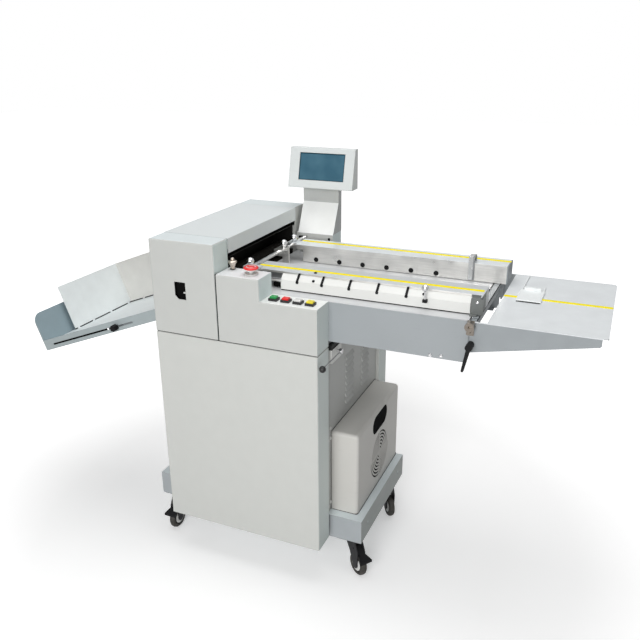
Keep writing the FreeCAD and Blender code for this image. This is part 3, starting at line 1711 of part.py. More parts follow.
def slotted_wall():
    """Make the tray's front wall as four strips round the clamp knob's slot."""
    left = -tray_long + tray_sheet
    slot_low = -tray_slot_drop - tray_slot_half
    slot_high = -tray_slot_drop + tray_slot_half
    return [
        slab(left, 0.0, 0.0, tray_sheet, slot_high, 0.0),
        slab(left, -tray_toe, 0.0, tray_sheet, -tray_wall_low, slot_low),
        slab(left, -tray_slot_left, 0.0, tray_sheet, slot_low, slot_high),
        slab(-tray_slot_right, 0.0, 0.0, tray_sheet, slot_low, slot_high),
    ]


def delivery_tray():
    """Make the tray's floor, slotted front wall and rounded end plate."""
    left = -tray_long
    floor = slab(left, 0.0, tray_sheet, tray_wide, -tray_floor_top - tray_sheet, -tray_floor_top)
    end = slab(left, left + tray_sheet, 0.0, tray_end_wide, -tray_floor_top, tray_end_tall)
    corners = []
    for edge in end.Edges:
        bound = edge.BoundBox
        if bound.XLength > tray_sheet / 2 and abs(bound.YMin) < near and bound.ZMin > tray_end_tall - near:
            corners.append(edge)
    end = end.makeFillet(tray_end_round, corners)
    foot = slab(left, left + tray_sheet, 0.0, tray_sheet, -tray_wall_low, -tray_floor_top)
    lip = slab(left, 0.0, tray_wide - tray_sheet, tray_wide, -tray_wall_low, -tray_floor_top - tray_sheet)
    return at_tray(group([fuse_all([floor, end]), foot, lip] + slotted_wall()))


def tray_stop_plate():
    """Make the white end and back plates that stand on feet on the tray's floor."""
    left = -tray_long + stop_plate_inset
    back = tray_wide - tray_sheet
    low = -tray_floor_top + stop_plate_foot
    pieces = [
        slab(left, left + tray_sheet, stop_plate_front, back, low, stop_plate_tall),
        slab(left, -rear_wall_right, back - tray_sheet, back, low, stop_plate_tall),
    ]
    span = back - stop_plate_front - stop_foot_width
    for share in stop_foot_shares:
        y = stop_plate_front + share * span
        pieces.append(slab(left, left + tray_sheet, y, y + stop_foot_width,
                           -tray_floor_top, low + tray_sheet))
    span = -rear_wall_right - left - stop_foot_width
    for share in rear_foot_shares:
        s = left + share * span
        pieces.append(slab(s, s + stop_foot_width, back - tray_sheet, back,
                           -tray_floor_top, low + tray_sheet))
    return at_tray(fuse_all(pieces))


def tray_rails():
    """Make the two fixed rails under the tray and the cross bar that carries them."""
    rails = []
    for y0 in (rail_inset, tray_wide - rail_inset - rail_sheet):
        rails.append(slab(-rail_left, rail_right, y0, y0 + rail_sheet, -rail_low,
                          -tray_floor_top - tray_sheet - rail_gap))
    boss_front = tray_sheet + rail_boss_gap
    boss = Part.makeCylinder(
        rail_boss_round, rail_inset - boss_front,
        FreeCAD.Vector(-tray_knob_s, boss_front, -tray_slot_drop - rail_boss_drop), along_y(),
    )
    hole = Part.makeCylinder(
        tray_shank_round + running, rail_inset + 2 * rail_sheet,
        FreeCAD.Vector(-tray_knob_s, 0, -tray_slot_drop), along_y(),
    )
    rails[0] = rails[0].fuse(boss).cut(hole)
    cross = block(cross_left, plate_left, cover_deep, mirror_y(cover_deep), cross_low, cross_high)
    return fuse_all([cross] + [at_tray(rail) for rail in rails])


def tray_knob():
    """Make the lobed clamp knob whose shank passes through the tray's slot."""
    head = Part.makeCylinder(
        tray_knob_round, tray_knob_front - tray_knob_back, FreeCAD.Vector(0, -tray_knob_front, 0), along_y()
    )
    for index in range(tray_knob_lobes):
        angle = math.radians(360 * index / tray_knob_lobes)
        place = FreeCAD.Vector(
            tray_lobe_reach * math.cos(angle), -tray_knob_front, tray_lobe_reach * math.sin(angle)
        )
        head = head.cut(Part.makeCylinder(tray_knob_dent, tray_knob_front, place, along_y()))
    shank = Part.makeCylinder(
        tray_shank_round, tray_knob_back + rail_inset + rail_sheet + near,
        FreeCAD.Vector(0, -tray_knob_back - near, 0), along_y(),
    )
    shape = fuse_all([head, shank])
    shape.translate(FreeCAD.Vector(-tray_knob_s, 0, -tray_slot_drop))
    return at_tray(shape)


nodes = {
    "base_frame": base_frame,
    "castor_plates": castor_plates,
    "carcass": carcass,
    "lower_front_cover": lower_front_cover,
    "lower_rear_cover": lower_rear_cover,
    "louvre_panel": louvre_panel,
    "head_front_cap": head_front_cap,
    "rear_head_cover": rear_head_cover,
    "control_cover": control_cover,
    "crease_frame": crease_frame,
    "lower_feed_roller": lower_feed_roller,
    "upper_feed_roller": upper_feed_roller,
    "crease_blade": crease_blade,
    "lid_hinge_bar": lid_hinge_bar,
    "lid": lid,
    "control_bodies": control_bodies,
    "estop_head": estop_head,
    "gap_knob": gap_knob,
    "feed_deck": feed_deck,
    "side_beams": side_beams,
    "cross_shaft": cross_shaft,
    "extension_table": extension_table,
    "front_guide": front_guide,
    "front_manifold": front_manifold,
    "manifold_clips": manifold_clips,
    "stop_knob": stop_knob,
    "rear_guide": rear_guide,
    "rear_nozzles": rear_nozzles,
    "front_guide_knob": front_guide_knob,
    "rear_guide_knob": rear_guide_knob,
    "separator_knob": separator_knob,
    "separator": separator,
    "tail_stop_arm": tail_stop_arm,
    "tail_guide": tail_guide,
    "end_latch": end_latch,
    "clamp_lever": clamp_lever,
    "lever_bracket": lever_bracket,
    "air_lever": air_lever,
    "pump_box": pump_box,
    "display_tower": display_tower,
    "display_housing": display_housing,
    "display_screen": display_screen,
    "delivery_tray": delivery_tray,
    "tray_stop_plate": tray_stop_plate,
    "tray_rails": tray_rails,
    "tray_knob": tray_knob,
}

castor_names = ("front_right", "front_left", "rear_right", "rear_left")
button_names = ("green", "red", "white", "yellow")

os.makedirs("parts", exist_ok=True)
for name, build in nodes.items():
    build().exportStep("parts/" + name + ".step")
for index, place in enumerate(castor_names):
    at_castor(fork_local(), index).exportStep("parts/castor_fork_" + place + ".step")
    at_castor(wheel_local(), index).exportStep("parts/castor_wheel_" + place + ".step")
for index in range(2):
    at_castor(pedal_local(), index).exportStep("parts/brake_pedal_" + castor_names[index] + ".step")
for index, colour in enumerate(button_names):
    button_cap(index).exportStep("parts/button_" + colour + ".step")
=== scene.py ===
import json
import logging
import math
from dataclasses import dataclass, field
from enum import Enum
from typing import Sequence

import bmesh
import bpy
import numpy as np
from mathutils import Matrix, Vector


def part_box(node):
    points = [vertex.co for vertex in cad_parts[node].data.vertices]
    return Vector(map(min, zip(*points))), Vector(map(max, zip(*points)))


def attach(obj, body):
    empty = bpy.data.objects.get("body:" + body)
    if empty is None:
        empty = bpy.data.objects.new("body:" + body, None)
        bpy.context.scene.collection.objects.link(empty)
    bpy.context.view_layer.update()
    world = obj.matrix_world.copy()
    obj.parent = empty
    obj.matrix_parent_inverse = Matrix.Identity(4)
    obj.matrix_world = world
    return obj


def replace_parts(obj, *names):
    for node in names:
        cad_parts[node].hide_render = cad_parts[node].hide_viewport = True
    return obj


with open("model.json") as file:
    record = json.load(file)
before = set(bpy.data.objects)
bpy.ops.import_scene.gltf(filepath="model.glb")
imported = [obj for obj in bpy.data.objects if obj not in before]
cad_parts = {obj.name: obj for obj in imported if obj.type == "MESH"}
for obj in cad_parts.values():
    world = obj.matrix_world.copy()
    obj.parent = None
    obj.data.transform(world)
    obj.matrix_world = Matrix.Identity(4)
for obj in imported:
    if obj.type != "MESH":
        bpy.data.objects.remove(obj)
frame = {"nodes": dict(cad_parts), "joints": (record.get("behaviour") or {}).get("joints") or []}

log = logging.getLogger("dressing")
merge_reach = 1e-7
thin_edge = 0.001
sharp_from = math.radians(40.0)
tray_tip = math.radians(20.8)
Colour = tuple[float, float, float]
Point = tuple[float, float, float]
Box = tuple[Point, Point]
Profile = tuple[tuple[float, float], ...]
Looks = tuple[tuple[str, ...], ...]
Surface = tuple[np.ndarray, np.ndarray]
Socket = bpy.types.NodeSocket
Material = bpy.types.Material


class Axis(Enum):
    """A direction that a turned piece stands up in or a zone's limit runs along."""

    UP = (0.0, 0.0, 1.0)
    DOWN = (0.0, 0.0, -1.0)
    LEFT = (-1.0, 0.0, 0.0)
    RIGHT = (1.0, 0.0, 0.0)
    FRONT = (0.0, -1.0, 0.0)
    BACK = (0.0, 1.0, 0.0)
    TRAY_END = (-math.cos(tray_tip), 0.0, -math.sin(tray_tip))


# Node graphs


class Graph:
    """A short way to add nodes and links to one material."""

    def __init__(self, name: str) -> None:
        """Start an empty material with a Principled shader, under the name given."""
        self.material = bpy.data.materials.new(name)
        self.material.use_nodes = True
        self.tree = self.material.node_tree
        self.shader = self.tree.nodes["Principled BSDF"]

    def feed(self, target: Socket, value: object) -> None:
        """Link an output socket into an input, or write a plain number, vector or colour there."""
        if isinstance(value, bpy.types.NodeSocket):
            self.tree.links.new(value, target)
        elif target.type == "RGBA":
            target.default_value = (*value, 1.0)
        else:
            target.default_value = value

    def set(self, node: bpy.types.Node, socket: str, value: object) -> None:
        """Feed a value into the node's input of that name."""
        self.feed(next(s for s in node.inputs if s.name == socket and s.enabled), value)

    def add(self, kind: str, **values: object) -> bpy.types.Node:
        """Add a node and set its properties or its input sockets.

        Args:
            kind: the node's Blender type.
            values: property names, or input names with spaces as underscores.

        Returns:
            The new node.
        """
        node = self.tree.nodes.new(kind)
        for key, value in values.items():
            if hasattr(node, key):
                setattr(node, key, value)
            else:
                self.set(node, key.replace("_", " "), value)
        return node

    def maths(self, operation: str, first: object, second: object, kind: str = "ShaderNodeMath") -> Socket:
        """Work out one operation.

        Args:
            operation: its Blender name.
            first: the first number, vector or socket.
            second: the second one.
            kind: the node's Blender type.

        Returns:
            The number that comes out.
        """
        node = self.add(kind, operation=operation)
        for target, value in zip(node.inputs, (first, second)):
            self.feed(target, value)
        return node.outputs["Value"]

    def coordinates(self, stretch: Point = (1.0, 1.0, 1.0)) -> Socket:
        """Give the piece's object coordinates, stretched by a factor along each axis."""
        place = self.add("ShaderNodeTexCoord").outputs["Object"]
        return self.add("ShaderNodeMapping", Vector=place, Scale=stretch).outputs["Vector"]

    def noise(self, vector: Socket, scale: float, detail: float = 2.0) -> Socket:
        """Add a noise from 0 to 1 with so many cells in a metre and so many finer layers."""
        return self.add("ShaderNodeTexNoise", Vector=vector, Scale=scale, Detail=detail).outputs["Fac"]

    def spread(self, value: Socket, low: float, high: float, start: float = 0.3, end: float = 0.7) -> Socket:
        """Map a pattern onto a range of numbers.

        Args:
            value: the pattern.
            low: what the pattern's low part becomes.
            high: what its high part becomes.
            start: the pattern value that gives low.
            end: the pattern value that gives high.

        Returns:
            The mapped number.
        """
        return self.add("ShaderNodeMapRange", Value=value, From_Min=start, From_Max=end, To_Min=low,
                        To_Max=high).outputs["Result"]

    def tint(self, colour: object, shade: Socket) -> Socket:
        """Multiply a colour or its socket by a number read from a pattern."""
        return self.add("ShaderNodeVectorMath", operation="SCALE", Vector=colour, Scale=shade).outputs["Vector"]

    def mix(self, share: Socket, first: object, second: object) -> Socket:
        """Mix two colours or two numbers by a pattern.

        Args:
            share: how much of the second one is taken.
            first: the first one, or its socket.
            second: the second one; its type decides what is mixed.

        Returns:
            The mixed colour or number.
        """
        colours = isinstance(second, (tuple, bpy.types.NodeSocket))
        node = self.add("ShaderNodeMix", data_type="RGBA" if colours else "FLOAT", Factor=share, A=first, B=second)
        return next(s for s in node.outputs if s.name == "Result" and s.enabled)

    def bump(self, height: Socket, strength: float, depth: float, edge: float = 0.0) -> None:
        """Let a pattern raise the surface a little, and soften its edges to the light.

        Args:
            height: the pattern.
            strength: how much of the effect is used.
            depth: how tall the pattern is, in metres.
            edge: how wide the edges look rounded, in metres.
        """
        node = self.add("ShaderNodeBump", Strength=strength, Distance=depth, Height=height)
        if edge:
            soft = self.add("ShaderNodeBevel", samples=4, Radius=edge)
            self.set(node, "Normal", soft.outputs["Normal"])
        self.set(self.shader, "Normal", node.outputs["Normal"])

    def plain(self, **values: object) -> None:
        """Write or link inputs of the Principled shader, named with spaces as underscores."""
        for key, value in values.items():
            self.set(self.shader, key.replace("_", " "), value)


# Finishes


@dataclass(frozen=True)
class PowderCoat:
    """Baked powder paint: a fine orange peel, faint cloudiness and a few scuffs."""

    name: str
    colour: Colour
    roughness: float = 0.42
    peel_per_metre: float = 620.0
    peel_depth: float = 0.00012
    cloud_share: float = 0.025
    scuff_share: float = 0.05
    edge: float = 0.0016

    def material(self) -> Material:
        """Build the paint and give its material."""
        g = Graph(self.name)
        where = g.coordinates()
        cloud = g.spread(g.noise(where, 5.0, 3.0), 1.0 - self.cloud_share, 1.0 + self.cloud_share)
        speck = g.noise(where, 900.0, 1.0)
        base = g.tint(self.colour, cloud)
        faded = tuple(c * (1.0 - 3.0 * self.scuff_share) for c in self.colour)
        scuffs = g.noise(g.coordinates((1.0, 1.0, 6.0)), 22.0, 6.0)
        share = g.spread(scuffs, 0.0, 0.5, 0.62, 0.78)
        g.plain(
            Base_Color=g.mix(share, base, faded),
            Roughness=g.spread(speck, self.roughness - 0.05, self.roughness + 0.07),
            Specular_IOR_Level=0.45,
        )
        g.bump(g.noise(where, self.peel_per_metre, 2.0), 0.35, self.peel_depth, self.edge)
        return g.material


@dataclass(frozen=True)
class BrushedMetal:
    """Metal with fine strokes along one direction and a few smudges."""

    name: str
    colour: Colour
    roughness: float = 0.3
    strokes: Point = (4.0, 240.0, 240.0)
    stroke_depth: float = 0.00004
    stroke_share: float = 0.12

    def material(self) -> Material:
        """Build the metal and give its material."""
        g = Graph(self.name)
        lines = g.noise(g.coordinates(self.strokes), 4.0, 4.0)
        smudge = g.noise(g.coordinates(), 16.0, 3.0)
        shade = g.spread(lines, 1.0 - self.stroke_share, 1.0 + self.stroke_share)
        rough = g.maths("ADD", g.spread(lines, self.roughness - 0.06, self.roughness + 0.08),
                        g.spread(smudge, -0.03, 0.08))
        g.plain(Base_Color=g.tint(self.colour, shade), Metallic=1.0, Roughness=rough)
        g.bump(lines, 0.3, self.stroke_depth)
        return g.material


@dataclass(frozen=True)
class Plated:
    """Bright plating with fingerprints that dull it in patches."""

    name: str
    colour: Colour = (0.74, 0.74, 0.75)
    roughness: float = 0.12

    def material(self) -> Material:
        """Build the plating and give its material."""
        g = Graph(self.name)
        where = g.coordinates()
        patches = g.noise(where, 60.0, 4.0)
        g.plain(
            Base_Color=g.tint(self.colour, g.spread(patches, 0.94, 1.02)),
            Metallic=1.0,
            Roughness=g.spread(patches, self.roughness, self.roughness + 0.12, 0.4, 0.75),
        )
        g.bump(g.noise(where, 420.0, 2.0), 0.1, 0.00002)
        return g.material


@dataclass(frozen=True)
class Moulded:
    """Moulded plastic with a fine spark texture and slightly rubbed patches."""

    name: str
    colour: Colour
    roughness: float = 0.4
    grain_depth: float = 0.00006
    coat: float = 0.0
    shine: float = 0.5

    def material(self) -> Material:
        """Build the plastic and give its material."""
        g = Graph(self.name)
        where = g.coordinates()
        rub = g.noise(where, 40.0, 3.0)
        g.plain(
            Base_Color=g.tint(self.colour, g.spread(rub, 0.93, 1.06)),
            Roughness=g.spread(rub, self.roughness - 0.06, self.roughness + 0.1),
            Coat_Weight=self.coat,
            Specular_IOR_Level=self.shine,
        )
        g.bump(g.noise(where, 1500.0, 1.0), 0.3, self.grain_depth)
        return g.material


@dataclass(frozen=True)
class Rolled:
    """Rubber or tread plastic with rings of dust rubbed into it."""

    name: str
    colour: Colour
    dust: Colour
    roughness: float = 0.7
    shine: float = 0.5

    def material(self) -> Material:
        """Build the rubber and give its material."""
        g = Graph(self.name)
        where = g.coordinates()
        dust = g.spread(g.noise(where, 55.0, 5.0), 0.0, 0.6, 0.45, 0.75)
        g.plain(
            Base_Color=g.mix(dust, self.colour, self.dust),
            Roughness=g.spread(g.noise(where, 90.0, 2.0), self.roughness - 0.1, self.roughness + 0.1),
            Specular_IOR_Level=self.shine,
        )
        g.bump(g.noise(where, 800.0, 3.0), 0.4, 0.00015)
        return g.material


@dataclass(frozen=True)
class Coat:
    """The colour, metal share and roughness of one zone."""

    colour: Colour
    metal: float = 0.0
    roughness: float = 0.4


@dataclass(frozen=True)
class Zone:
    """A coat that shows where a place lies beyond each of its levels, measured from the cabinet's corner."""

    limits: tuple[tuple[Axis, float], ...]
    coat: Coat
    blur: float = 0.0001

    def share(self, g: Graph, where: Socket) -> Socket:
        """Build the zone's share: the product of one sharp step per limit.

        Args:
            g: the graph it goes into.
            where: the place.

        Returns:
            One inside the zone and nought outside it.
        """
        inside: object = 1.0
        for axis, level in self.limits:
            level += float(np.dot(offset, axis.value))
            along = g.maths("DOT_PRODUCT", where, axis.value, "ShaderNodeVectorMath")
            inside = g.maths("MULTIPLY", inside, g.spread(along, 0.0, 1.0, level - self.blur, level + self.blur))
        return inside


@dataclass(frozen=True)
class Zoned:
    """A piece with a first coat and others in their zones, all with a fine grain and smudges; some zones are real
    parts of another colour, others are painted light on faces turned to the light and painted shade on faces turned
    away.
    """

    name: str
    first: Coat
    zones: tuple[Zone, ...]
    patches: float = 0.03
    strokes: float = 0.0
    grain_per_metre: float = 700.0
    grain_depth: float = 0.00006
    edge: float = 0.0012

    def material(self) -> Material:
        """Build the finish and give its material."""
        g = Graph(self.name)
        where = g.coordinates()
        colour, metal, roughness = self.first.colour, self.first.metal, self.first.roughness
        for zone in self.zones:
            inside = zone.share(g, where)
            colour = g.mix(inside, colour, zone.coat.colour)
            metal = g.mix(inside, metal, zone.coat.metal)
            roughness = g.mix(inside, roughness, zone.coat.roughness)
        smudge = g.noise(where, 24.0, 4.0)
        rough = g.maths("ADD", roughness, g.spread(smudge, -0.03, 0.08))
        colour = g.tint(colour, g.spread(smudge, 1.0 - self.patches, 1.0 + self.patches))
        if self.strokes:
            lines = g.noise(g.coordinates((4.0, 240.0, 240.0)), 4.0, 4.0)
            colour = g.tint(colour, g.spread(lines, 1.0 - self.strokes, 1.0 + self.strokes))
        g.plain(Base_Color=colour, Metallic=metal, Roughness=rough)
        g.bump(g.noise(where, self.grain_per_metre, 2.0), 0.3, self.grain_depth, self.edge)
        return g.material


@dataclass(frozen=True)
class ScreenGlass:
    """A dark touch panel with soft blocks of light behind its glass and a darker border."""

    name: str
    low: Colour
    high: Colour
    border: tuple[Zone, ...]

    def material(self) -> Material:
        """Build the glass and give its material."""
        g = Graph(self.name)
        cloud = g.spread(g.noise(g.coordinates(), 14.0, 2.0), 0.0, 1.0, 0.35, 0.65)
        colour = g.mix(cloud, self.low, self.high)
        for zone in self.border:
            colour = g.mix(zone.share(g, g.coordinates()), colour, zone.coat.colour)
        g.plain(Base_Color=colour, Roughness=0.3, Specular_IOR_Level=0.12)
        g.bump(g.noise(g.coordinates(), 900.0, 1.0), 0.05, 0.00002)
        return g.material


@dataclass(frozen=True)
class Tape:
    """Yellow guide tape with fine cross ticks along X and worn edges."""

    name: str
    colour: Colour
    tick_pitch: float = 0.01
    tick_share: float = 0.05

    def material(self) -> Material:
        """Build the tape and give its material."""
        g = Graph(self.name)
        split = g.add("ShaderNodeSeparateXYZ", Vector=g.coordinates())
        wave = g.maths("PINGPONG", split.outputs["X"], self.tick_pitch / 2)
        tick = g.spread(wave, self.tick_share, 0.0, 0.0, self.tick_pitch * 0.08)
        dark = tuple(c * 0.45 for c in self.colour)
        worn = g.spread(g.noise(g.coordinates(), 70.0, 4.0), 0.92, 1.05)
        g.plain(Base_Color=g.mix(tick, g.tint(self.colour, worn), dark), Roughness=0.6, Specular_IOR_Level=0.15)
        g.bump(g.noise(g.coordinates(), 600.0, 2.0), 0.2, 0.00005)
        return g.material


# Surfaces


def grid_faces(rows: int, columns: int, wrap: bool) -> np.ndarray:
    """List the quads of a grid of points.

    Args:
        rows: points along the first parameter.
        columns: points along the second parameter.
        wrap: whether the second parameter closes on itself.

    Returns:
        One row of four vertex numbers per quad.
    """
    u, v = np.meshgrid(np.arange(rows - 1), np.arange(columns if wrap else columns - 1), indexing="ij")
    u, v = u.ravel(), v.ravel()
    w = (v + 1) % columns
    return np.stack([u * columns + v, u * columns + w, (u + 1) * columns + w, (u + 1) * columns + v], axis=1)


def frame_about(direction: Sequence[float]) -> np.ndarray:
    """Give two directions square to a given one, and that one itself, as rows.

    Args:
        direction: the direction, of any length.

    Returns:
        A 3 by 3 array, right-handed.
    """
    up = np.array(direction, float)
    up /= np.linalg.norm(up)
    seed = np.array([1.0, 0.0, 0.0]) if abs(up[0]) < 0.9 else np.array([0.0, 1.0, 0.0])
    side = np.cross(up, seed)
    side /= np.linalg.norm(side)
    return np.stack([side, np.cross(up, side), up])


def lathe(profile: Profile, centre: Sequence[float], direction: Sequence[float], sides: int = 32) -> Surface:
    """Turn a profile about an axis: each point is centre + radius (cos t, sin t) + height along the axis.

    Args:
        profile: radius and height pairs, from the axis at the bottom to the axis at the top.
        centre: the axis's foot.
        direction: which way height runs.
        sides: how many steps make a turn.

    Returns:
        The vertices and the quads.
    """
    radius, height = np.array(profile, float).T
    turn = np.linspace(0.0, 2.0 * math.pi, sides, endpoint=False)
    basis = frame_about(direction)
    around = np.cos(turn)[:, None] * basis[0] + np.sin(turn)[:, None] * basis[1]
    points = radius[:, None, None] * around[None] + height[:, None, None] * basis[2]
    points = points.reshape(-1, 3) + np.array(centre, float)
    return points, grid_faces(len(profile), sides, True)


def slab(low: Sequence[float], high: Sequence[float], edge: float, steps: int = 5) -> Surface:
    """Make a cushioned slab: a rounded rectangle in X and Y whose four rings step in towards top and bottom.

    Args:
        low: its lowest corner.
        high: its highest corner.
        edge: the radius of its corners.
        steps: points in each corner's quarter turn.

    Returns:
        The vertices and the quads.
    """
    low, high = np.array(low, float), np.array(high, float)
    half = (high - low) / 2
    radius = min(edge, half[0] * 0.98, half[1] * 0.98)
    turn = np.linspace(0.0, math.pi / 2, steps)
    quarter = np.arange(4)[:, None] * math.pi / 2 + turn[None]
    reach = np.array([[1, 1], [-1, 1], [-1, -1], [1, -1]], float)[:, None, :] * (half[:2] - radius)
    ring = reach + radius * np.stack([np.cos(quarter), np.sin(quarter)], axis=2)
    ring = ring.reshape(-1, 2)
    soft = min(radius, half[2]) * 0.5
    shares = [(0.0, -1.0), (1.0 - soft / half[:2].min(), -1.0), (1.0, -1.0 + soft / half[2]),
              (1.0, 1.0 - soft / half[2]), (1.0 - soft / half[:2].min(), 1.0), (0.0, 1.0)]
    centre = (low + high) / 2
    layers = [np.column_stack([ring * share, np.full(len(ring), level * half[2])]) for share, level in shares]
    points = np.concatenate(layers) + centre
    return points, grid_faces(len(shares), len(ring), True)


def merged(parts: Sequence[Surface]) -> Surface:
    """Join several sets of vertices and quads into one.

    Args:
        parts: pairs of vertices and quads.

    Returns:
        One pair.
    """
    starts = np.cumsum([0] + [len(points) for points, _ in parts[:-1]])
    points = np.concatenate([points for points, _ in parts])
    faces = np.concatenate([faces + start for (_, faces), start in zip(parts, starts)])
    return points, faces


def carried(section: np.ndarray, path: np.ndarray, sides: np.ndarray, ups: np.ndarray) -> Surface:
    """Carry a closed section along a path: each point is path + a side + b up.

    Args:
        section: rows of a and b.
        path: rows of points.
        sides: the side direction at each path point.
        ups: the up direction at each path point.

    Returns:
        The vertices and the quads, with both ends closed to a point.
    """
    rings = path[:, None] + section[None, :, :1] * sides[:, None] + section[None, :, 1:] * ups[:, None]
    first = np.repeat(path[:1, None], len(section), axis=1)
    last = np.repeat(path[-1:, None], len(section), axis=1)
    points = np.concatenate([first, rings, last]).reshape(-1, 3)
    return points, grid_faces(len(path) + 2, len(section), True)


def make(name: str, parts: Sequence[Surface], body: str, finish: str) -> bpy.types.Object:
    """Join surfaces into one closed piece that rides on a body, with its faces turned outwards, and log it.

    Args:
        name: the piece's name.
        parts: pairs of vertices and quads.
        body: the body it rides on.
        finish: the field of its finish.

    Returns:
        The object.
    """
    points, faces = merged(parts)
    mesh = bpy.data.meshes.new(name)
    mesh.from_pydata(points.tolist(), [], faces.tolist())
    mesh.materials.append(finishes.get(finish))
    mesh.validate()
    mesh.shade_smooth()
    work = bmesh.new()
    work.from_mesh(mesh)
    bmesh.ops.remove_doubles(work, verts=work.verts, dist=merge_reach)
    bmesh.ops.dissolve_degenerate(work, edges=work.edges, dist=merge_reach)
    bmesh.ops.recalc_face_normals(work, faces=work.faces)
    work.to_mesh(mesh)
    work.free()
    mesh.set_sharp_from_angle(angle=sharp_from)
    piece = bpy.data.objects.new(name, mesh)
    bpy.context.scene.collection.objects.link(piece)
    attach(piece, body)
    log.info("made %s on %s with %d faces", name, body, len(mesh.polygons))
    return piece


def screw_head(centre: Sequence[float], direction: Sequence[float], radius: float) -> Surface:
    """Make a pan-head screw with a round socket: a turned profile that dips at the middle.

    Args:
        centre: where its underside lies.
        direction: which way it faces.
        radius: the head's radius.

    Returns:
        The vertices and the quads.
    """
    shares = ((0.0, -0.2), (1.0, -0.2), (1.0, 0.25), (0.85, 0.55), (0.5, 0.65), (0.42, 0.62), (0.4, 0.15), (0.0, 0.1))
    return lathe([(radius * across, radius * along) for across, along in shares], centre, direction, sides=20)


def screws(places: Sequence[Point], direction: Sequence[float], radius: float) -> list[Surface]:
    """Make one screw head at each place, measured from the cabinet's corner."""
    return [screw_head(at(*place), direction, radius) for place in places]


def strips(boxes: Sequence[Box], edge: float = thin_edge) -> list[Surface]:
    """Make a cushioned slab between each pair of corners, measured from the cabinet's corner."""
    return [slab(at(*low), at(*high), edge) for low, high in boxes]


# Shared places


corner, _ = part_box("lower_front_cover")
offset = np.array([corner.x, corner.y, 0.0])
tray_foot = (-0.0424, 0.060, 0.8083)
tray_end_level = 0.4968 + float(np.dot(tray_foot, Axis.TRAY_END.value))


def at(x: float, y: float, z: float) -> np.ndarray:
    """Place a point measured in metres from the cabinet's left front edge on the floor."""
    return np.array([x, y, z]) + offset


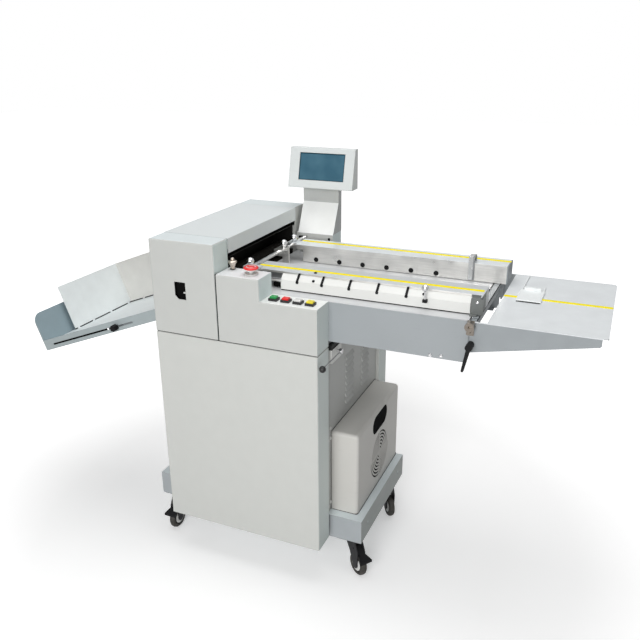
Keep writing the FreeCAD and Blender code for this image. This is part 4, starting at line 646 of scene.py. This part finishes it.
@dataclass
class Finishes:
    """Every finish on the machine, built once."""

    # Cover paint; the right side faces past x = 514.6 mm are painted lighter and bluer: painted side light on the
    # same paint.
    cover: Zoned = Zoned("cover paint", Coat((0.58, 0.59, 0.565)),
                         (Zone(((Axis.RIGHT, 0.5146),), Coat((0.65, 0.71, 0.69))),), patches=0.012)
    # Cap paint: a darker copy of the cover paint, painted shade on the upper fronts. Its zones are painted light: the
    # tops above 1044.6 mm, the control block's top and the shelf's top are lighter as lit from above, and the right
    # side faces are lighter and bluer as lit from the side.
    cap: Zoned = Zoned("cap paint", Coat((0.54, 0.55, 0.53)), (
        Zone(((Axis.UP, 1.0446),), Coat((0.715, 0.775, 0.785))),
        Zone(((Axis.RIGHT, 0.2136), (Axis.UP, 0.9626), (Axis.DOWN, -0.9634)), Coat((0.81, 0.82, 0.83))),
        Zone(((Axis.RIGHT, 0.3456), (Axis.UP, 0.9006), (Axis.DOWN, -0.9014)), Coat((0.88, 0.90, 0.88))),
        Zone(((Axis.RIGHT, 0.3446), (Axis.UP, 0.9014)), Coat((0.66, 0.75, 0.75))),
        Zone(((Axis.RIGHT, 0.5146),), Coat((0.61, 0.67, 0.655)))), patches=0.012)
    # Head cap paint: the same darker copy, painted shade on the head's front; its top above 1044.6 mm is painted
    # lighter as lit from above, and its right side past x = 208.6 mm lighter and bluer as painted side light.
    head_cap: Zoned = Zoned("head cap paint", Coat((0.54, 0.55, 0.53)), (
        Zone(((Axis.UP, 1.0446),), Coat((0.715, 0.775, 0.785))),
        Zone(((Axis.RIGHT, 0.2086),), Coat((0.66, 0.75, 0.73)))), patches=0.012)
    lid: Zoned = Zoned("lid paint", Coat((0.72, 0.76, 0.765)),
                       (Zone(((Axis.FRONT, -0.0786),), Coat((0.36, 0.39, 0.39))),), patches=0.012)
    frame: PowderCoat = PowderCoat("frame paint", (0.34, 0.365, 0.38))
    # Stand paint: the neck above 1059.5 mm and the right side past x = 344.6 mm are painted darker: painted shade on
    # the stand's pale paint.
    stand: Zoned = Zoned("stand paint", Coat((0.95, 0.96, 0.95)),
                         (Zone(((Axis.UP, 1.0595),), Coat((0.50, 0.51, 0.50))),
                          Zone(((Axis.RIGHT, 0.3446),), Coat((0.50, 0.52, 0.52)))))
    housing: PowderCoat = PowderCoat("housing paint", (0.69, 0.72, 0.715))
    # Base paint: the pale top is painted light from above, far lighter than the blue-grey front and right faces; the
    # right side past x = 614.6 mm is a little darker and warmer as painted shade.
    base: Zoned = Zoned("base paint", Coat((0.74, 0.81, 0.83)),
                        (Zone(((Axis.FRONT, -0.0905),), Coat((0.375, 0.403, 0.42))),
                         Zone(((Axis.RIGHT, 0.6146),), Coat((0.36, 0.39, 0.38)))))
    deck: PowderCoat = PowderCoat("deck paint", (0.64, 0.65, 0.66), 0.34)
    # Tray paint: the end plate at the tray's low end and the front wall, in front of y = 62.5 mm, are painted darker
    # blue-grey: painted shade on the tray's pale paint.
    tray: Zoned = Zoned("tray paint", Coat((0.75, 0.80, 0.81)), (
        Zone(((Axis.TRAY_END, tray_end_level),), Coat((0.26, 0.335, 0.37))),
        Zone(((Axis.FRONT, -0.0625),), Coat((0.36, 0.41, 0.42)))))
    # Table paint: the top above 896.6 mm is painted far lighter than the blue-grey skirts: painted light from above.
    table: Zoned = Zoned("table paint", Coat((0.31, 0.335, 0.35)),
                         (Zone(((Axis.UP, 0.8966),), Coat((0.745, 0.775, 0.79), 0.0, 0.36)),))
    panel: PowderCoat = PowderCoat("panel paint", (0.50, 0.51, 0.495))
    pump: PowderCoat = PowderCoat("pump paint", (0.61, 0.60, 0.57))
    white: PowderCoat = PowderCoat("white paint", (0.76, 0.765, 0.74), 0.4)
    plate: Zoned = Zoned("stop plate paint", Coat((0.78, 0.815, 0.815)),
                         (Zone(((Axis.BACK, 0.5055),), Coat((0.63, 0.62, 0.59))),))
    bright: PowderCoat = PowderCoat("bright white paint", (0.86, 0.89, 0.89), 0.42)
    # Bracket paint: its top above 747.8 mm is painted black: painted shade in the gap under the beam.
    bracket: Zoned = Zoned("bracket paint", Coat((0.76, 0.765, 0.74)),
                           (Zone(((Axis.UP, 0.7478),), Coat((0.012, 0.014, 0.013), 0.0, 0.6)),))
    steel: BrushedMetal = BrushedMetal("guide steel", (0.76, 0.75, 0.72))
    # Front guide steel: the flange's top above 950.3 mm is painted light blue-grey at a low metal share: a painted
    # highlight on the steel.
    front_steel: Zoned = Zoned("front guide steel", Coat((0.80, 0.79, 0.76), 1.0, 0.3),
                               (Zone(((Axis.RIGHT, 0.8868),), Coat((0.15, 0.16, 0.155), 0.0, 0.4)),
                                Zone(((Axis.UP, 0.9503),), Coat((0.70, 0.73, 0.75), 0.3, 0.34)),
                                Zone(((Axis.BACK, 0.177),), Coat((0.55, 0.57, 0.58), 0.0, 0.38))), strokes=0.1)
    # Rear guide steel: the flange's top above 955.3 mm is painted light blue-grey at a low metal share: a painted
    # highlight on the steel.
    rear_steel: Zoned = Zoned("rear guide steel", Coat((0.84, 0.83, 0.80), 1.0, 0.3),
                              (Zone(((Axis.UP, 0.9553),), Coat((0.80, 0.84, 0.86), 0.3, 0.34)),
                               Zone(((Axis.RIGHT, 0.9305),), Coat((0.26, 0.29, 0.31), 0.0, 0.4))), strokes=0.1)
    # Post steel: pale at a low metal share, a painted reflection standing in for the chrome's shine; its right side
    # past x = 833.5 mm is painted darker as shade.
    post: Zoned = Zoned("post steel", Coat((0.66, 0.67, 0.67), 0.6, 0.22),
                        (Zone(((Axis.RIGHT, 0.8335),), Coat((0.30, 0.31, 0.32), 0.6, 0.3)),))
    shaft: Zoned = Zoned("shaft steel", Coat((0.42, 0.43, 0.42), 0.0, 0.4),
                         (Zone(((Axis.UP, 0.9405),), Coat((0.70, 0.70, 0.70), 1.0, 0.2)),))
    dark_steel: Plated = Plated("dark steel", (0.25, 0.22, 0.19), 0.22)
    nickel: Zoned = Zoned("nickel", Coat((0.012, 0.014, 0.012), 0.0, 0.5),
                          (Zone(((Axis.UP, 0.9668),), Coat((0.62, 0.55, 0.49), 1.0, 0.24)),))
    # Inner steel is near black: painted shade under the lid, darker than the steel's own colour.
    inner: BrushedMetal = BrushedMetal("shaded inner steel", (0.03, 0.029, 0.027), 0.55)
    chrome: Plated = Plated("bright chrome")
    rubber: Rolled = Rolled("roller rubber", (0.009, 0.008, 0.007), (0.02, 0.017, 0.014), 0.8, 0.08)
    tread: Rolled = Rolled("wheel tread", (0.042, 0.039, 0.034), (0.10, 0.094, 0.084), 0.6)
    castor: PowderCoat = PowderCoat("castor black", (0.012, 0.012, 0.014), 0.36)
    black: Moulded = Moulded("moulded black", (0.008, 0.008, 0.009), 0.5, shine=0.18)
    bodies: Zoned = Zoned("switch bodies", Coat((0.014, 0.014, 0.015), 0.0, 0.45),
                          (Zone(((Axis.UP, 0.955),), Coat((0.56, 0.56, 0.54), 0.0, 0.35)),))
    lever: Zoned = Zoned("lever", Coat((0.012, 0.012, 0.012), 0.0, 0.35),
                         (Zone(((Axis.BACK, 0.0145),), Coat((0.74, 0.74, 0.75), 1.0, 0.15)),))
    red: Moulded = Moulded("stop red", (0.80, 0.012, 0.012), 0.34, coat=0.2)
    green: Moulded = Moulded("button green", (0.01, 0.33, 0.07), 0.3, coat=0.3)
    lamp_white: Moulded = Moulded("button white", (0.75, 0.75, 0.73), 0.3, coat=0.4)
    yellow: Moulded = Moulded("button yellow", (0.88, 0.74, 0.03), 0.3, coat=0.3)
    screen: ScreenGlass = ScreenGlass("screen glass", (0.046, 0.125, 0.18), (0.07, 0.165, 0.225), (
        Zone(((Axis.UP, 1.2184),), Coat((0.02, 0.06, 0.085))),
        Zone(((Axis.DOWN, -1.1402),), Coat((0.03, 0.075, 0.10))),
        Zone(((Axis.LEFT, -0.2248),), Coat((0.015, 0.05, 0.07))),
        Zone(((Axis.RIGHT, 0.3756),), Coat((0.03, 0.075, 0.10)))))
    tape: Tape = Tape("guide tape", (1.0, 0.87, 0.0))
    # Dark lining: near black with almost no shine, for the sheets and strips of painted shade set in gaps, slots and
    # hollows; the tube's dark foot uses it too.
    shade: Moulded = Moulded("dark lining", (0.006, 0.006, 0.006), 0.9, shine=0.04)
    built: dict[str, Material] = field(default_factory=dict)

    def get(self, name: str) -> Material:
        """Give the material of the finish in that field, building it on first use."""
        if name not in self.built:
            self.built[name] = getattr(self, name).material()
        return self.built[name]

    def dress(self, finish: str, *nodes: str) -> None:
        """Give CAD nodes the finish in that field."""
        for node in nodes:
            target = frame["nodes"][node]
            target.data.materials.clear()
            target.data.materials.append(self.get(finish))
            log.info("dressed %s in %s", node, finish)


finishes = Finishes()


# Sub-assemblies


@dataclass
class Assembly:
    """A group of CAD nodes, with the pieces that are added beside them."""

    looks: Looks = ()

    def build(self) -> None:
        """Add no pieces; a group that has some brings a build of its own."""

    def dress(self) -> None:
        """Finish the CAD nodes: each row of looks names a finish and then its nodes."""
        for finish, *nodes in self.looks:
            finishes.dress(finish, *nodes)


@dataclass
class Cabinet(Assembly):
    """The base, covers and right panel, with screws, dark strips of painted shade in the covers' gaps and a dark
    sheet of painted shade behind the louvres.
    """

    looks: Looks = (
        ("cover", "lower_front_cover", "lower_rear_cover"),
        ("cap", "rear_head_cover", "control_cover"),
        ("head_cap", "head_front_cap"),
        ("frame", "carcass", "side_beams", "tray_rails"),
        ("base", "base_frame"),
        ("deck", "feed_deck"),
        ("table", "extension_table"),
        ("panel", "louvre_panel"))
    panel_face: float = 0.504
    screw_radius: float = 0.0055
    screw_places: Profile = ((0.0985, 0.229), (0.0985, 0.458), (0.1135, 0.237), (0.1135, 0.459), (0.1135, 0.493))
    louvre_back: Box = ((0.498, 0.195, 0.505), (0.5, 0.415, 0.69))
    seams: tuple[Box, ...] = (
        ((0.0022, 0.0022, 0.7667), (0.5128, 0.0042, 0.7693)),
        ((0.5108, 0.0042, 0.7667), (0.5128, 0.0748, 0.7693)),
        ((0.0022, 0.5938, 0.7667), (0.5128, 0.5958, 0.7693)),
        ((0.5108, 0.5232, 0.7667), (0.5128, 0.5938, 0.7693)),
        ((0.2092, 0.0022, 0.7703), (0.2138, 0.0042, 0.9627)))

    def build(self) -> None:
        """Add the panel's screws, a dark sheet behind its louvres and dark strips in the seams, both painted shade.
        """
        places = [(self.panel_face, *place) for place in self.screw_places]
        make("panel_screws", screws(places, Axis.RIGHT.value, self.screw_radius), "machine", "lamp_white")
        # Painted shade: a dark sheet behind the louvres and dark strips in the covers' gaps stand for the shade
        # there.
        make("louvre_shade_sheet", strips([self.louvre_back]), "machine", "shade")
        make("seam_shade_strips", strips(self.seams), "machine", "shade")


@dataclass
class Head(Assembly):
    """The lid, the window and what shows under the lid."""

    looks: Looks = (
        ("lid", "lid"),
        ("inner", "crease_frame", "crease_blade", "lid_hinge_bar"),
        ("rubber", "lower_feed_roller", "upper_feed_roller"))
    window_back: Box = ((0.06, 0.012, 0.86), (0.13, 0.014, 0.945))
    dark_screws: tuple[Point, ...] = ((0.227, 0.521, 0.948), (0.332, 0.521, 0.948))
    screw_profile: Profile = (
        (0.0, -0.0006), (0.005, -0.0006), (0.005, 0.0001), (0.0047, 0.0004), (0.0024, 0.0005), (0.002, 0.0001),
        (0.0, 0.0))

    def build(self) -> None:
        """Add a dark sheet behind the window, painted shade for the space inside, and the rear block's flush screws.
        """
        make("window_shade_sheet", strips([self.window_back]), "machine", "shade")
        heads = [lathe(self.screw_profile, at(*place), Axis.FRONT.value, sides=24) for place in self.dark_screws]
        make("block_screws", heads, "machine", "black")


@dataclass
class Controls(Assembly):
    """The stop button, the push buttons and the adjusting knob."""

    looks: Looks = (
        ("bodies", "control_bodies"),
        ("red", "button_red"),
        ("green", "button_green"),
        ("lamp_white", "button_white"),
        ("yellow", "button_yellow"))
    stop: Point = (0.304, 0.038, 0.938)
    stop_profile: Profile = (
        (0.0, 0.0418), (0.0195, 0.0418), (0.0208, 0.0432), (0.021, 0.0448), (0.0195, 0.0466), (0.0165, 0.0478),
        (0.0152, 0.0472), (0.0095, 0.0472), (0.0082, 0.0482), (0.0, 0.0488))
    neck_profile: Profile = (
        (0.0, 0.0), (0.006, 0.0), (0.006, 0.0358), (0.013, 0.0358), (0.0146, 0.0372), (0.0146, 0.0408),
        (0.0136, 0.0416), (0.0, 0.0416))
    arc_radius: float = 0.0122
    arc_level: float = 0.0473
    arc_half: tuple[float, float] = (0.0014, 0.0002)
    arc_starts: tuple[float, ...] = (0.35, 3.49)
    arc_turn: float = 2.1
    knob: Point = (0.233, 0.062, 0.949)
    knob_profile: Profile = (
        (0.0, 0.0), (0.004, 0.0), (0.004, 0.0146), (0.0078, 0.0146), (0.0078, 0.0178), (0.0056, 0.0188),
        (0.0062, 0.0225), (0.0086, 0.0285), (0.0112, 0.0325), (0.0124, 0.0345), (0.0124, 0.0378), (0.011, 0.0392),
        (0.007, 0.0398), (0.0036, 0.0402), (0.0046, 0.0425), (0.005, 0.0442), (0.0042, 0.0466), (0.0025, 0.0479),
        (0.0, 0.0485))

    def arc(self, start: float) -> Surface:
        """Make one inlaid arc on the stop button: a flat section carried along a circle.

        Args:
            start: the angle at which it begins.

        Returns:
            The vertices and the quads.
        """
        turn = np.linspace(start, start + self.arc_turn, 16)
        sides = np.stack([np.cos(turn), np.sin(turn), 0.0 * turn], axis=1)
        middle = at(*self.stop) + np.array([0.0, 0.0, self.arc_level])
        ups = np.tile([0.0, 0.0, 1.0], (len(turn), 1))
        wide, thick = self.arc_half
        section = np.array([[-wide, -thick], [wide, -thick], [wide, thick], [-wide, thick]])
        return carried(section, middle + self.arc_radius * sides, sides, ups)

    def build(self) -> None:
        """Make the flat stop button with its pale neck and arcs, and the bell-shaped knob."""
        up = Axis.UP.value
        button = make("stop_button", [lathe(self.stop_profile, at(*self.stop), up, sides=48)], "estop", "red")
        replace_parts(button, "estop_head")
        make("stop_neck", [lathe(self.neck_profile, at(*self.stop), up, sides=48)], "estop", "lamp_white")
        make("stop_arcs", [self.arc(start) for start in self.arc_starts], "estop", "lamp_white")
        bell = lathe(self.knob_profile, at(*self.knob), up, sides=48)
        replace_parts(make("gap_knob_bell", [bell], "gap_knob", "nickel"), "gap_knob")


@dataclass
class FeedTable(Assembly):
    """The deck's guides and everything on them."""

    looks: Looks = (
        ("front_steel", "front_guide"),
        ("rear_steel", "rear_guide"),
        ("shaft", "cross_shaft"),
        ("white", "front_manifold"),
        ("bracket", "lever_bracket"),
        ("bright", "tail_guide"),
        ("post", "tail_stop_arm"),
        ("chrome", "front_guide_knob", "rear_guide_knob", "separator_knob", "stop_knob"),
        ("steel", "separator"),
        ("dark_steel", "end_latch"),
        ("black", "manifold_clips", "rear_nozzles", "clamp_lever", "tray_knob"),
        ("lever", "air_lever"))
    tape_wide: float = 0.014
    tape_thick: float = 0.0006
    tape_edge: float = 0.002
    front_tape: tuple[float, float, float, float] = (0.263, 0.912, 0.169, 0.951)
    rear_tape: tuple[float, float, float, float] = (0.270, 0.933, 0.450, 0.956)
    table_tape: tuple[float, float, float, float] = (0.941, 1.222, 0.3115, 0.8986)
    rivet_radius: float = 0.0052
    rivets: tuple[Point, ...] = ((0.801, 0.077, 0.791), (0.830, 0.077, 0.793))
    dark_screw_radius: float = 0.0045
    dark_screws: tuple[Point, ...] = ((0.446, 0.150, 0.9512), (0.760, 0.150, 0.9512))
    plugs: tuple[Point, ...] = ((0.451, 0.1232, 0.9359), (0.764, 0.1253, 0.9378))
    plug_lean: Point = (0.0, -0.682, 0.731)
    plug_radius: float = 0.004
    wall_screws: tuple[Point, ...] = ((0.449, 0.118, 0.9194), (0.7605, 0.118, 0.9197))
    wall_screw_radius: float = 0.0022
    end_screw: Point = (0.906, 0.115, 0.937)
    hook_middles: tuple[float, ...] = (0.404, 0.478, 0.558, 0.638, 0.719)
    hook_bulb: float = 0.0034
    hook_shoulder: tuple[float, float] = (0.1325, 0.9472)
    tube_start: Point = (0.3, 0.138, 0.921)
    tube_profile: Profile = (
        (0.0, 0.0), (0.004625, 0.0), (0.00481, 0.004), (0.0037, 0.005), (0.0037, 0.0535), (0.0, 0.0535))
    tube_foot: Box = ((0.322, 0.132, 0.9045), (0.3535, 0.144, 0.9163))
    foot_edge: float = 0.002
    manifold_gap_shade: Box = ((0.354, 0.1175, 0.9013), (0.887, 0.124, 0.9036))
    bar_gap_shades: tuple[Box, ...] = (((0.895, 0.0805, 0.901), (0.8974, 0.5175, 0.9016)),
                                  ((0.9136, 0.0805, 0.901), (0.916, 0.5175, 0.9016)))
    tail_shadow_strip: Box = ((0.9785, 0.2729, 0.8988), (1.0415, 0.2745, 0.9016))

    def tape(self, name: str, place: tuple[float, float, float, float], body: str) -> None:
        """Lay one tape: a thin soft-edged slab along X.

        Args:
            name: the piece's name.
            place: left end, right end, middle line and the level it lies on.
            body: the body it rides on.
        """
        left, right, middle, level = place
        low = (left, middle - self.tape_wide / 2, level)
        high = (right, middle + self.tape_wide / 2, level + self.tape_thick)
        make(name, strips([(low, high)], self.tape_edge), body, "tape")

    def fittings(self) -> None:
        """Add the air cover's plugs and screws, the hooks' bulbs and the tube at its left end."""
        front = Axis.FRONT.value
        make("manifold_plugs", screws(self.plugs, self.plug_lean, self.plug_radius), "front_guide", "black")
        make("manifold_screws", screws(self.wall_screws, front, self.wall_screw_radius), "front_guide", "lamp_white")
        make("end_block_screw", screws([self.end_screw], front, self.plug_radius), "front_guide", "chrome")
        turn = np.linspace(-math.pi / 2, math.pi / 2, 9)
        ball = np.stack([self.hook_bulb * np.cos(turn), self.hook_bulb * np.sin(turn)], axis=1)
        bulbs = [lathe(ball, at(x, *self.hook_shoulder), Axis.UP.value, sides=16) for x in self.hook_middles]
        make("hook_bulbs", bulbs, "front_guide", "black")
        tube = lathe(self.tube_profile, at(*self.tube_start), Axis.RIGHT.value, sides=24)
        make("manifold_tube", [tube], "front_guide", "lamp_white")
        make("manifold_tube_foot", strips([self.tube_foot], self.foot_edge), "front_guide", "shade")

    def build(self) -> None:
        """Add the tapes, rivets and screws, and dark strips of painted shade under the air cover, beside the end bar
        and under the tail guide.
        """
        self.tape("front_guide_tape", self.front_tape, "front_guide")
        self.tape("rear_guide_tape", self.rear_tape, "rear_guide")
        self.tape("table_tape", self.table_tape, "machine")
        make("beam_rivets", screws(self.rivets, Axis.FRONT.value, self.rivet_radius), "machine", "chrome")
        make("guide_screws", screws(self.dark_screws, Axis.UP.value, self.dark_screw_radius), "front_guide", "black")
        # Painted shade: a dark strip in the gap under the air cover's front edge.
        make("manifold_gap_shade", strips([self.manifold_gap_shade]), "front_guide", "shade")
        self.fittings()
        # Painted shade: dark strips in the grooves on either side of the end bar.
        make("end_bar_gap_shades", strips(self.bar_gap_shades), "machine", "shade")
        # Painted shadow: a dark strip under the tail guide plate's front edge.
        make("tail_guide_shadow_strip", strips([self.tail_shadow_strip]), "tail_guide", "shade")


@dataclass
class Tray(Assembly):
    """The tray and its stop plate, and dark sheets of painted shade in the tray's own tipped frame."""

    looks: Looks = (("tray", "delivery_tray"), ("plate", "tray_stop_plate"))
    slot: Box = ((-0.462, 0.00202, -0.0235), (-0.212, 0.0023, -0.0165))
    rear_gap: Box = ((-0.483, 0.44805, -0.01195), (-0.06, 0.4486, -0.0079))
    end_gap: Box = ((-0.4827, 0.135, -0.01195), (-0.48215, 0.448, -0.0079))

    def tipped(self, low: Point, high: Point) -> Surface:
        """Make a slab in the tray's frame and tip it: s runs up the tray, n stands square to its floor.

        Args:
            low: its lowest corner, in the tray's frame.
            high: its highest corner.

        Returns:
            The vertices and the quads.
        """
        points, faces = slab(low, high, thin_edge)
        up_tray = -np.array(Axis.TRAY_END.value)
        square = np.array([-up_tray[2], 0.0, up_tray[0]])
        basis = np.stack([up_tray, [0.0, 1.0, 0.0], square])
        return points @ basis + at(*tray_foot), faces

    def build(self) -> None:
        """Put dark sheets of painted shade in the slot and the gaps under the stop plate."""
        make("tray_slot_shade_sheet", [self.tipped(*self.slot)], "delivery_tray", "shade")
        gaps = [self.tipped(*self.rear_gap), self.tipped(*self.end_gap)]
        make("tray_gap_shade_sheets", gaps, "delivery_tray", "shade")


@dataclass
class PumpBox(Assembly):
    """The pump box, with a dark sheet of painted shade inside it and dark strips of painted shade along its joints.
    """

    looks: Looks = (("pump", "pump_box"),)
    inside: Box = ((0.586, 0.136, 0.222), (0.5875, 0.497, 0.468))
    foot_shade_strip: Box = ((0.504, 0.1198, 0.208), (0.5912, 0.5132, 0.2092))
    foot_edge: float = 0.008
    rim_shade_strips: tuple[Box, ...] = (((0.504, 0.1198, 0.208), (0.5052, 0.121, 0.4775)),
                                   ((0.504, 0.121, 0.4775), (0.5052, 0.512, 0.4787)))

    def build(self) -> None:
        """Add a dark sheet behind the grilles and the hand hole, and dark strips along the joints with base and
        panel, all painted shade.
        """
        make("pump_shade_sheet", strips([self.inside]), "machine", "shade")
        joint_shades = strips([self.foot_shade_strip], self.foot_edge) + strips(self.rim_shade_strips)
        make("pump_joint_shades", joint_shades, "machine", "shade")


@dataclass
class Display(Assembly):
    """The display, its stand and its screen."""

    looks: Looks = (("stand", "display_tower"), ("housing", "display_housing"), ("screen", "display_screen"))


@dataclass
class Castors(Assembly):
    """Forks, wheels with pale hub discs, and pedals."""

    places: tuple[str, ...] = ("front_right", "front_left", "rear_right", "rear_left")
    looks: Looks = (
        ("castor", "castor_plates", *("castor_fork_" + place for place in places)),
        ("tread", *("castor_wheel_" + place for place in places)),
        ("black", "brake_pedal_front_right", "brake_pedal_front_left"))
    hub_low: float = 0.0082
    hub_profile: Profile = (
        (0.0095, 0.0), (0.0215, 0.0), (0.0215, 0.0016), (0.0172, 0.00256), (0.0125, 0.00256), (0.0095, 0.0))

    def build(self) -> None:
        """Add pale discs into both sunk faces of every wheel: turned profiles on its axle."""
        for place in self.places:
            joint = next(j for j in frame["joints"] if j["name"] == "wheel_turn_" + place)
            centre, axle = np.array(joint["pos_m"]), np.array(joint["axis"])
            discs = [lathe(self.hub_profile, centre + side * axle * self.hub_low, side * axle, sides=36)
                     for side in (1.0, -1.0)]
            make("hub_discs_" + place, discs, "wheel_" + place, "lamp_white")


# Studio


@dataclass
class Studio:
    """The floor, the lights and the camera at the photograph's viewing angle."""

    camera_place: Point = (1.2233, -1.6132, 1.5424)
    yaw: float = math.radians(23.451)
    pitch: float = math.radians(20.770)
    roll: float = math.radians(-0.414)
    focal_pixels: float = 721.38
    frame_pixels: float = 640.0
    sensor: float = 36.0
    floor_half: float = 14.0
    floor_colour: Colour = (0.86, 0.86, 0.86)
    floor_lift: float = 0.33
    white_from: float = 0.9
    white_to: float = 2.4
    sky: float = 0.21
    gloss: float = 0.6
    lamp_aim: Point = (0.1, 0.0, 0.8)
    lamps: tuple[tuple[str, Point, float, float], ...] = (
        ("front lamp", (0.45, -3.7, 1.9), 1.8, 92.0), ("top lamp", (0.1, 0.2, 3.6), 3.0, 62.0))

    def camera(self) -> None:
        """Make the camera: forward from yaw and pitch, right and up turned by the roll."""
        data = bpy.data.cameras.new("camera")
        data.sensor_width = self.sensor
        data.lens = self.focal_pixels / self.frame_pixels * self.sensor
        data.clip_end = 100.0
        cy, sy = math.cos(self.yaw), math.sin(self.yaw)
        cp, sp = math.cos(self.pitch), math.sin(self.pitch)
        forward = np.array([-sy * cp, cy * cp, -sp])
        right = np.array([cy, sy, 0.0])
        up = np.cross(right, forward)
        cr, sr = math.cos(self.roll), math.sin(self.roll)
        turned_right = cr * right + sr * up
        turned_up = -sr * right + cr * up
        camera = bpy.data.objects.new("camera", data)
        bpy.context.scene.collection.objects.link(camera)
        basis = np.eye(4)
        basis[:3, 0], basis[:3, 1], basis[:3, 2] = turned_right, turned_up, -forward
        basis[:3, 3] = at(*self.camera_place)
        camera.matrix_world = Matrix(basis.tolist())
        bpy.context.scene.camera = camera

    def lamp(self, name: str, place: Point, size: float, power: float) -> None:
        """Add one soft square lamp that points at the machine.

        Args:
            name: the lamp's name.
            place: where it hangs, in the frame.
            size: its edge length.
            power: its power in watts.
        """
        data = bpy.data.lights.new(name, "AREA")
        data.size = size
        data.energy = power
        lamp = bpy.data.objects.new(name, data)
        lamp.location = place
        lamp.rotation_euler = (Vector(self.lamp_aim) - Vector(place)).to_track_quat("-Z", "Y").to_euler()
        bpy.context.scene.collection.objects.link(lamp)

    def world(self) -> None:
        """Make a plain sky: white to the camera and through glass, softer in gloss, dim as a light."""
        world = bpy.data.worlds.new("studio")
        world.use_nodes = True
        tree = world.node_tree
        path = tree.nodes.new("ShaderNodeLightPath")
        strength: Socket | None = None
        for ray, level in (("Is Glossy Ray", self.gloss), ("Is Transmission Ray", 1.0), ("Is Camera Ray", 1.0)):
            node = tree.nodes.new("ShaderNodeMix")
            node.inputs["A"].default_value = self.sky
            node.inputs["B"].default_value = level
            if strength:
                tree.links.new(strength, node.inputs["A"])
            tree.links.new(path.outputs[ray], node.inputs["Factor"])
            strength = node.outputs["Result"]
        tree.links.new(strength, tree.nodes["Background"].inputs["Strength"])
        tree.nodes["Background"].inputs["Color"].default_value = (1.0, 1.0, 1.0, 1.0)
        bpy.context.scene.world = world

    def floor(self) -> None:
        """Make a pale floor that keeps the shadow and turns white to the camera away from the machine."""
        half = self.floor_half
        edge = np.linspace(-half, half, 2)
        x, y = np.meshgrid(edge, edge, indexing="ij")
        points = np.stack([x.ravel(), y.ravel(), np.zeros(x.size)], axis=1)
        mesh = bpy.data.meshes.new("floor")
        mesh.from_pydata(points.tolist(), [], grid_faces(2, 2, False)[:, ::-1].tolist())
        g = Graph("floor")
        path = g.add("ShaderNodeLightPath")
        far = g.add("ShaderNodeVectorMath", operation="LENGTH", Vector=g.coordinates())
        white = g.spread(far.outputs["Value"], self.floor_lift, 1.0, self.white_from, self.white_to)
        g.plain(Base_Color=g.tint(self.floor_colour, g.spread(g.noise(g.coordinates(), 3.0), 0.995, 1.005)),
                Roughness=0.9, Specular_IOR_Level=0.1, Emission_Color=(1.0, 1.0, 1.0),
                Emission_Strength=g.maths("MULTIPLY", path.outputs["Is Camera Ray"], white))
        mesh.materials.append(g.material)
        floor = bpy.data.objects.new("floor", mesh)
        bpy.context.scene.collection.objects.link(floor)

    def build(self) -> None:
        """Make the whole studio."""
        self.camera()
        self.world()
        self.floor()
        for lamp in self.lamps:
            self.lamp(*lamp)


def main() -> None:
    logging.basicConfig(level=logging.INFO, format="%(message)s")
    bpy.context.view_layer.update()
    bpy.context.scene.view_settings.view_transform = "Standard"
    Studio().build()
    for part in (Cabinet(), Head(), Controls(), FeedTable(), Tray(), PumpBox(), Display(), Castors()):
        part.build()
        part.dress()


if __name__ == "__main__":
    main()
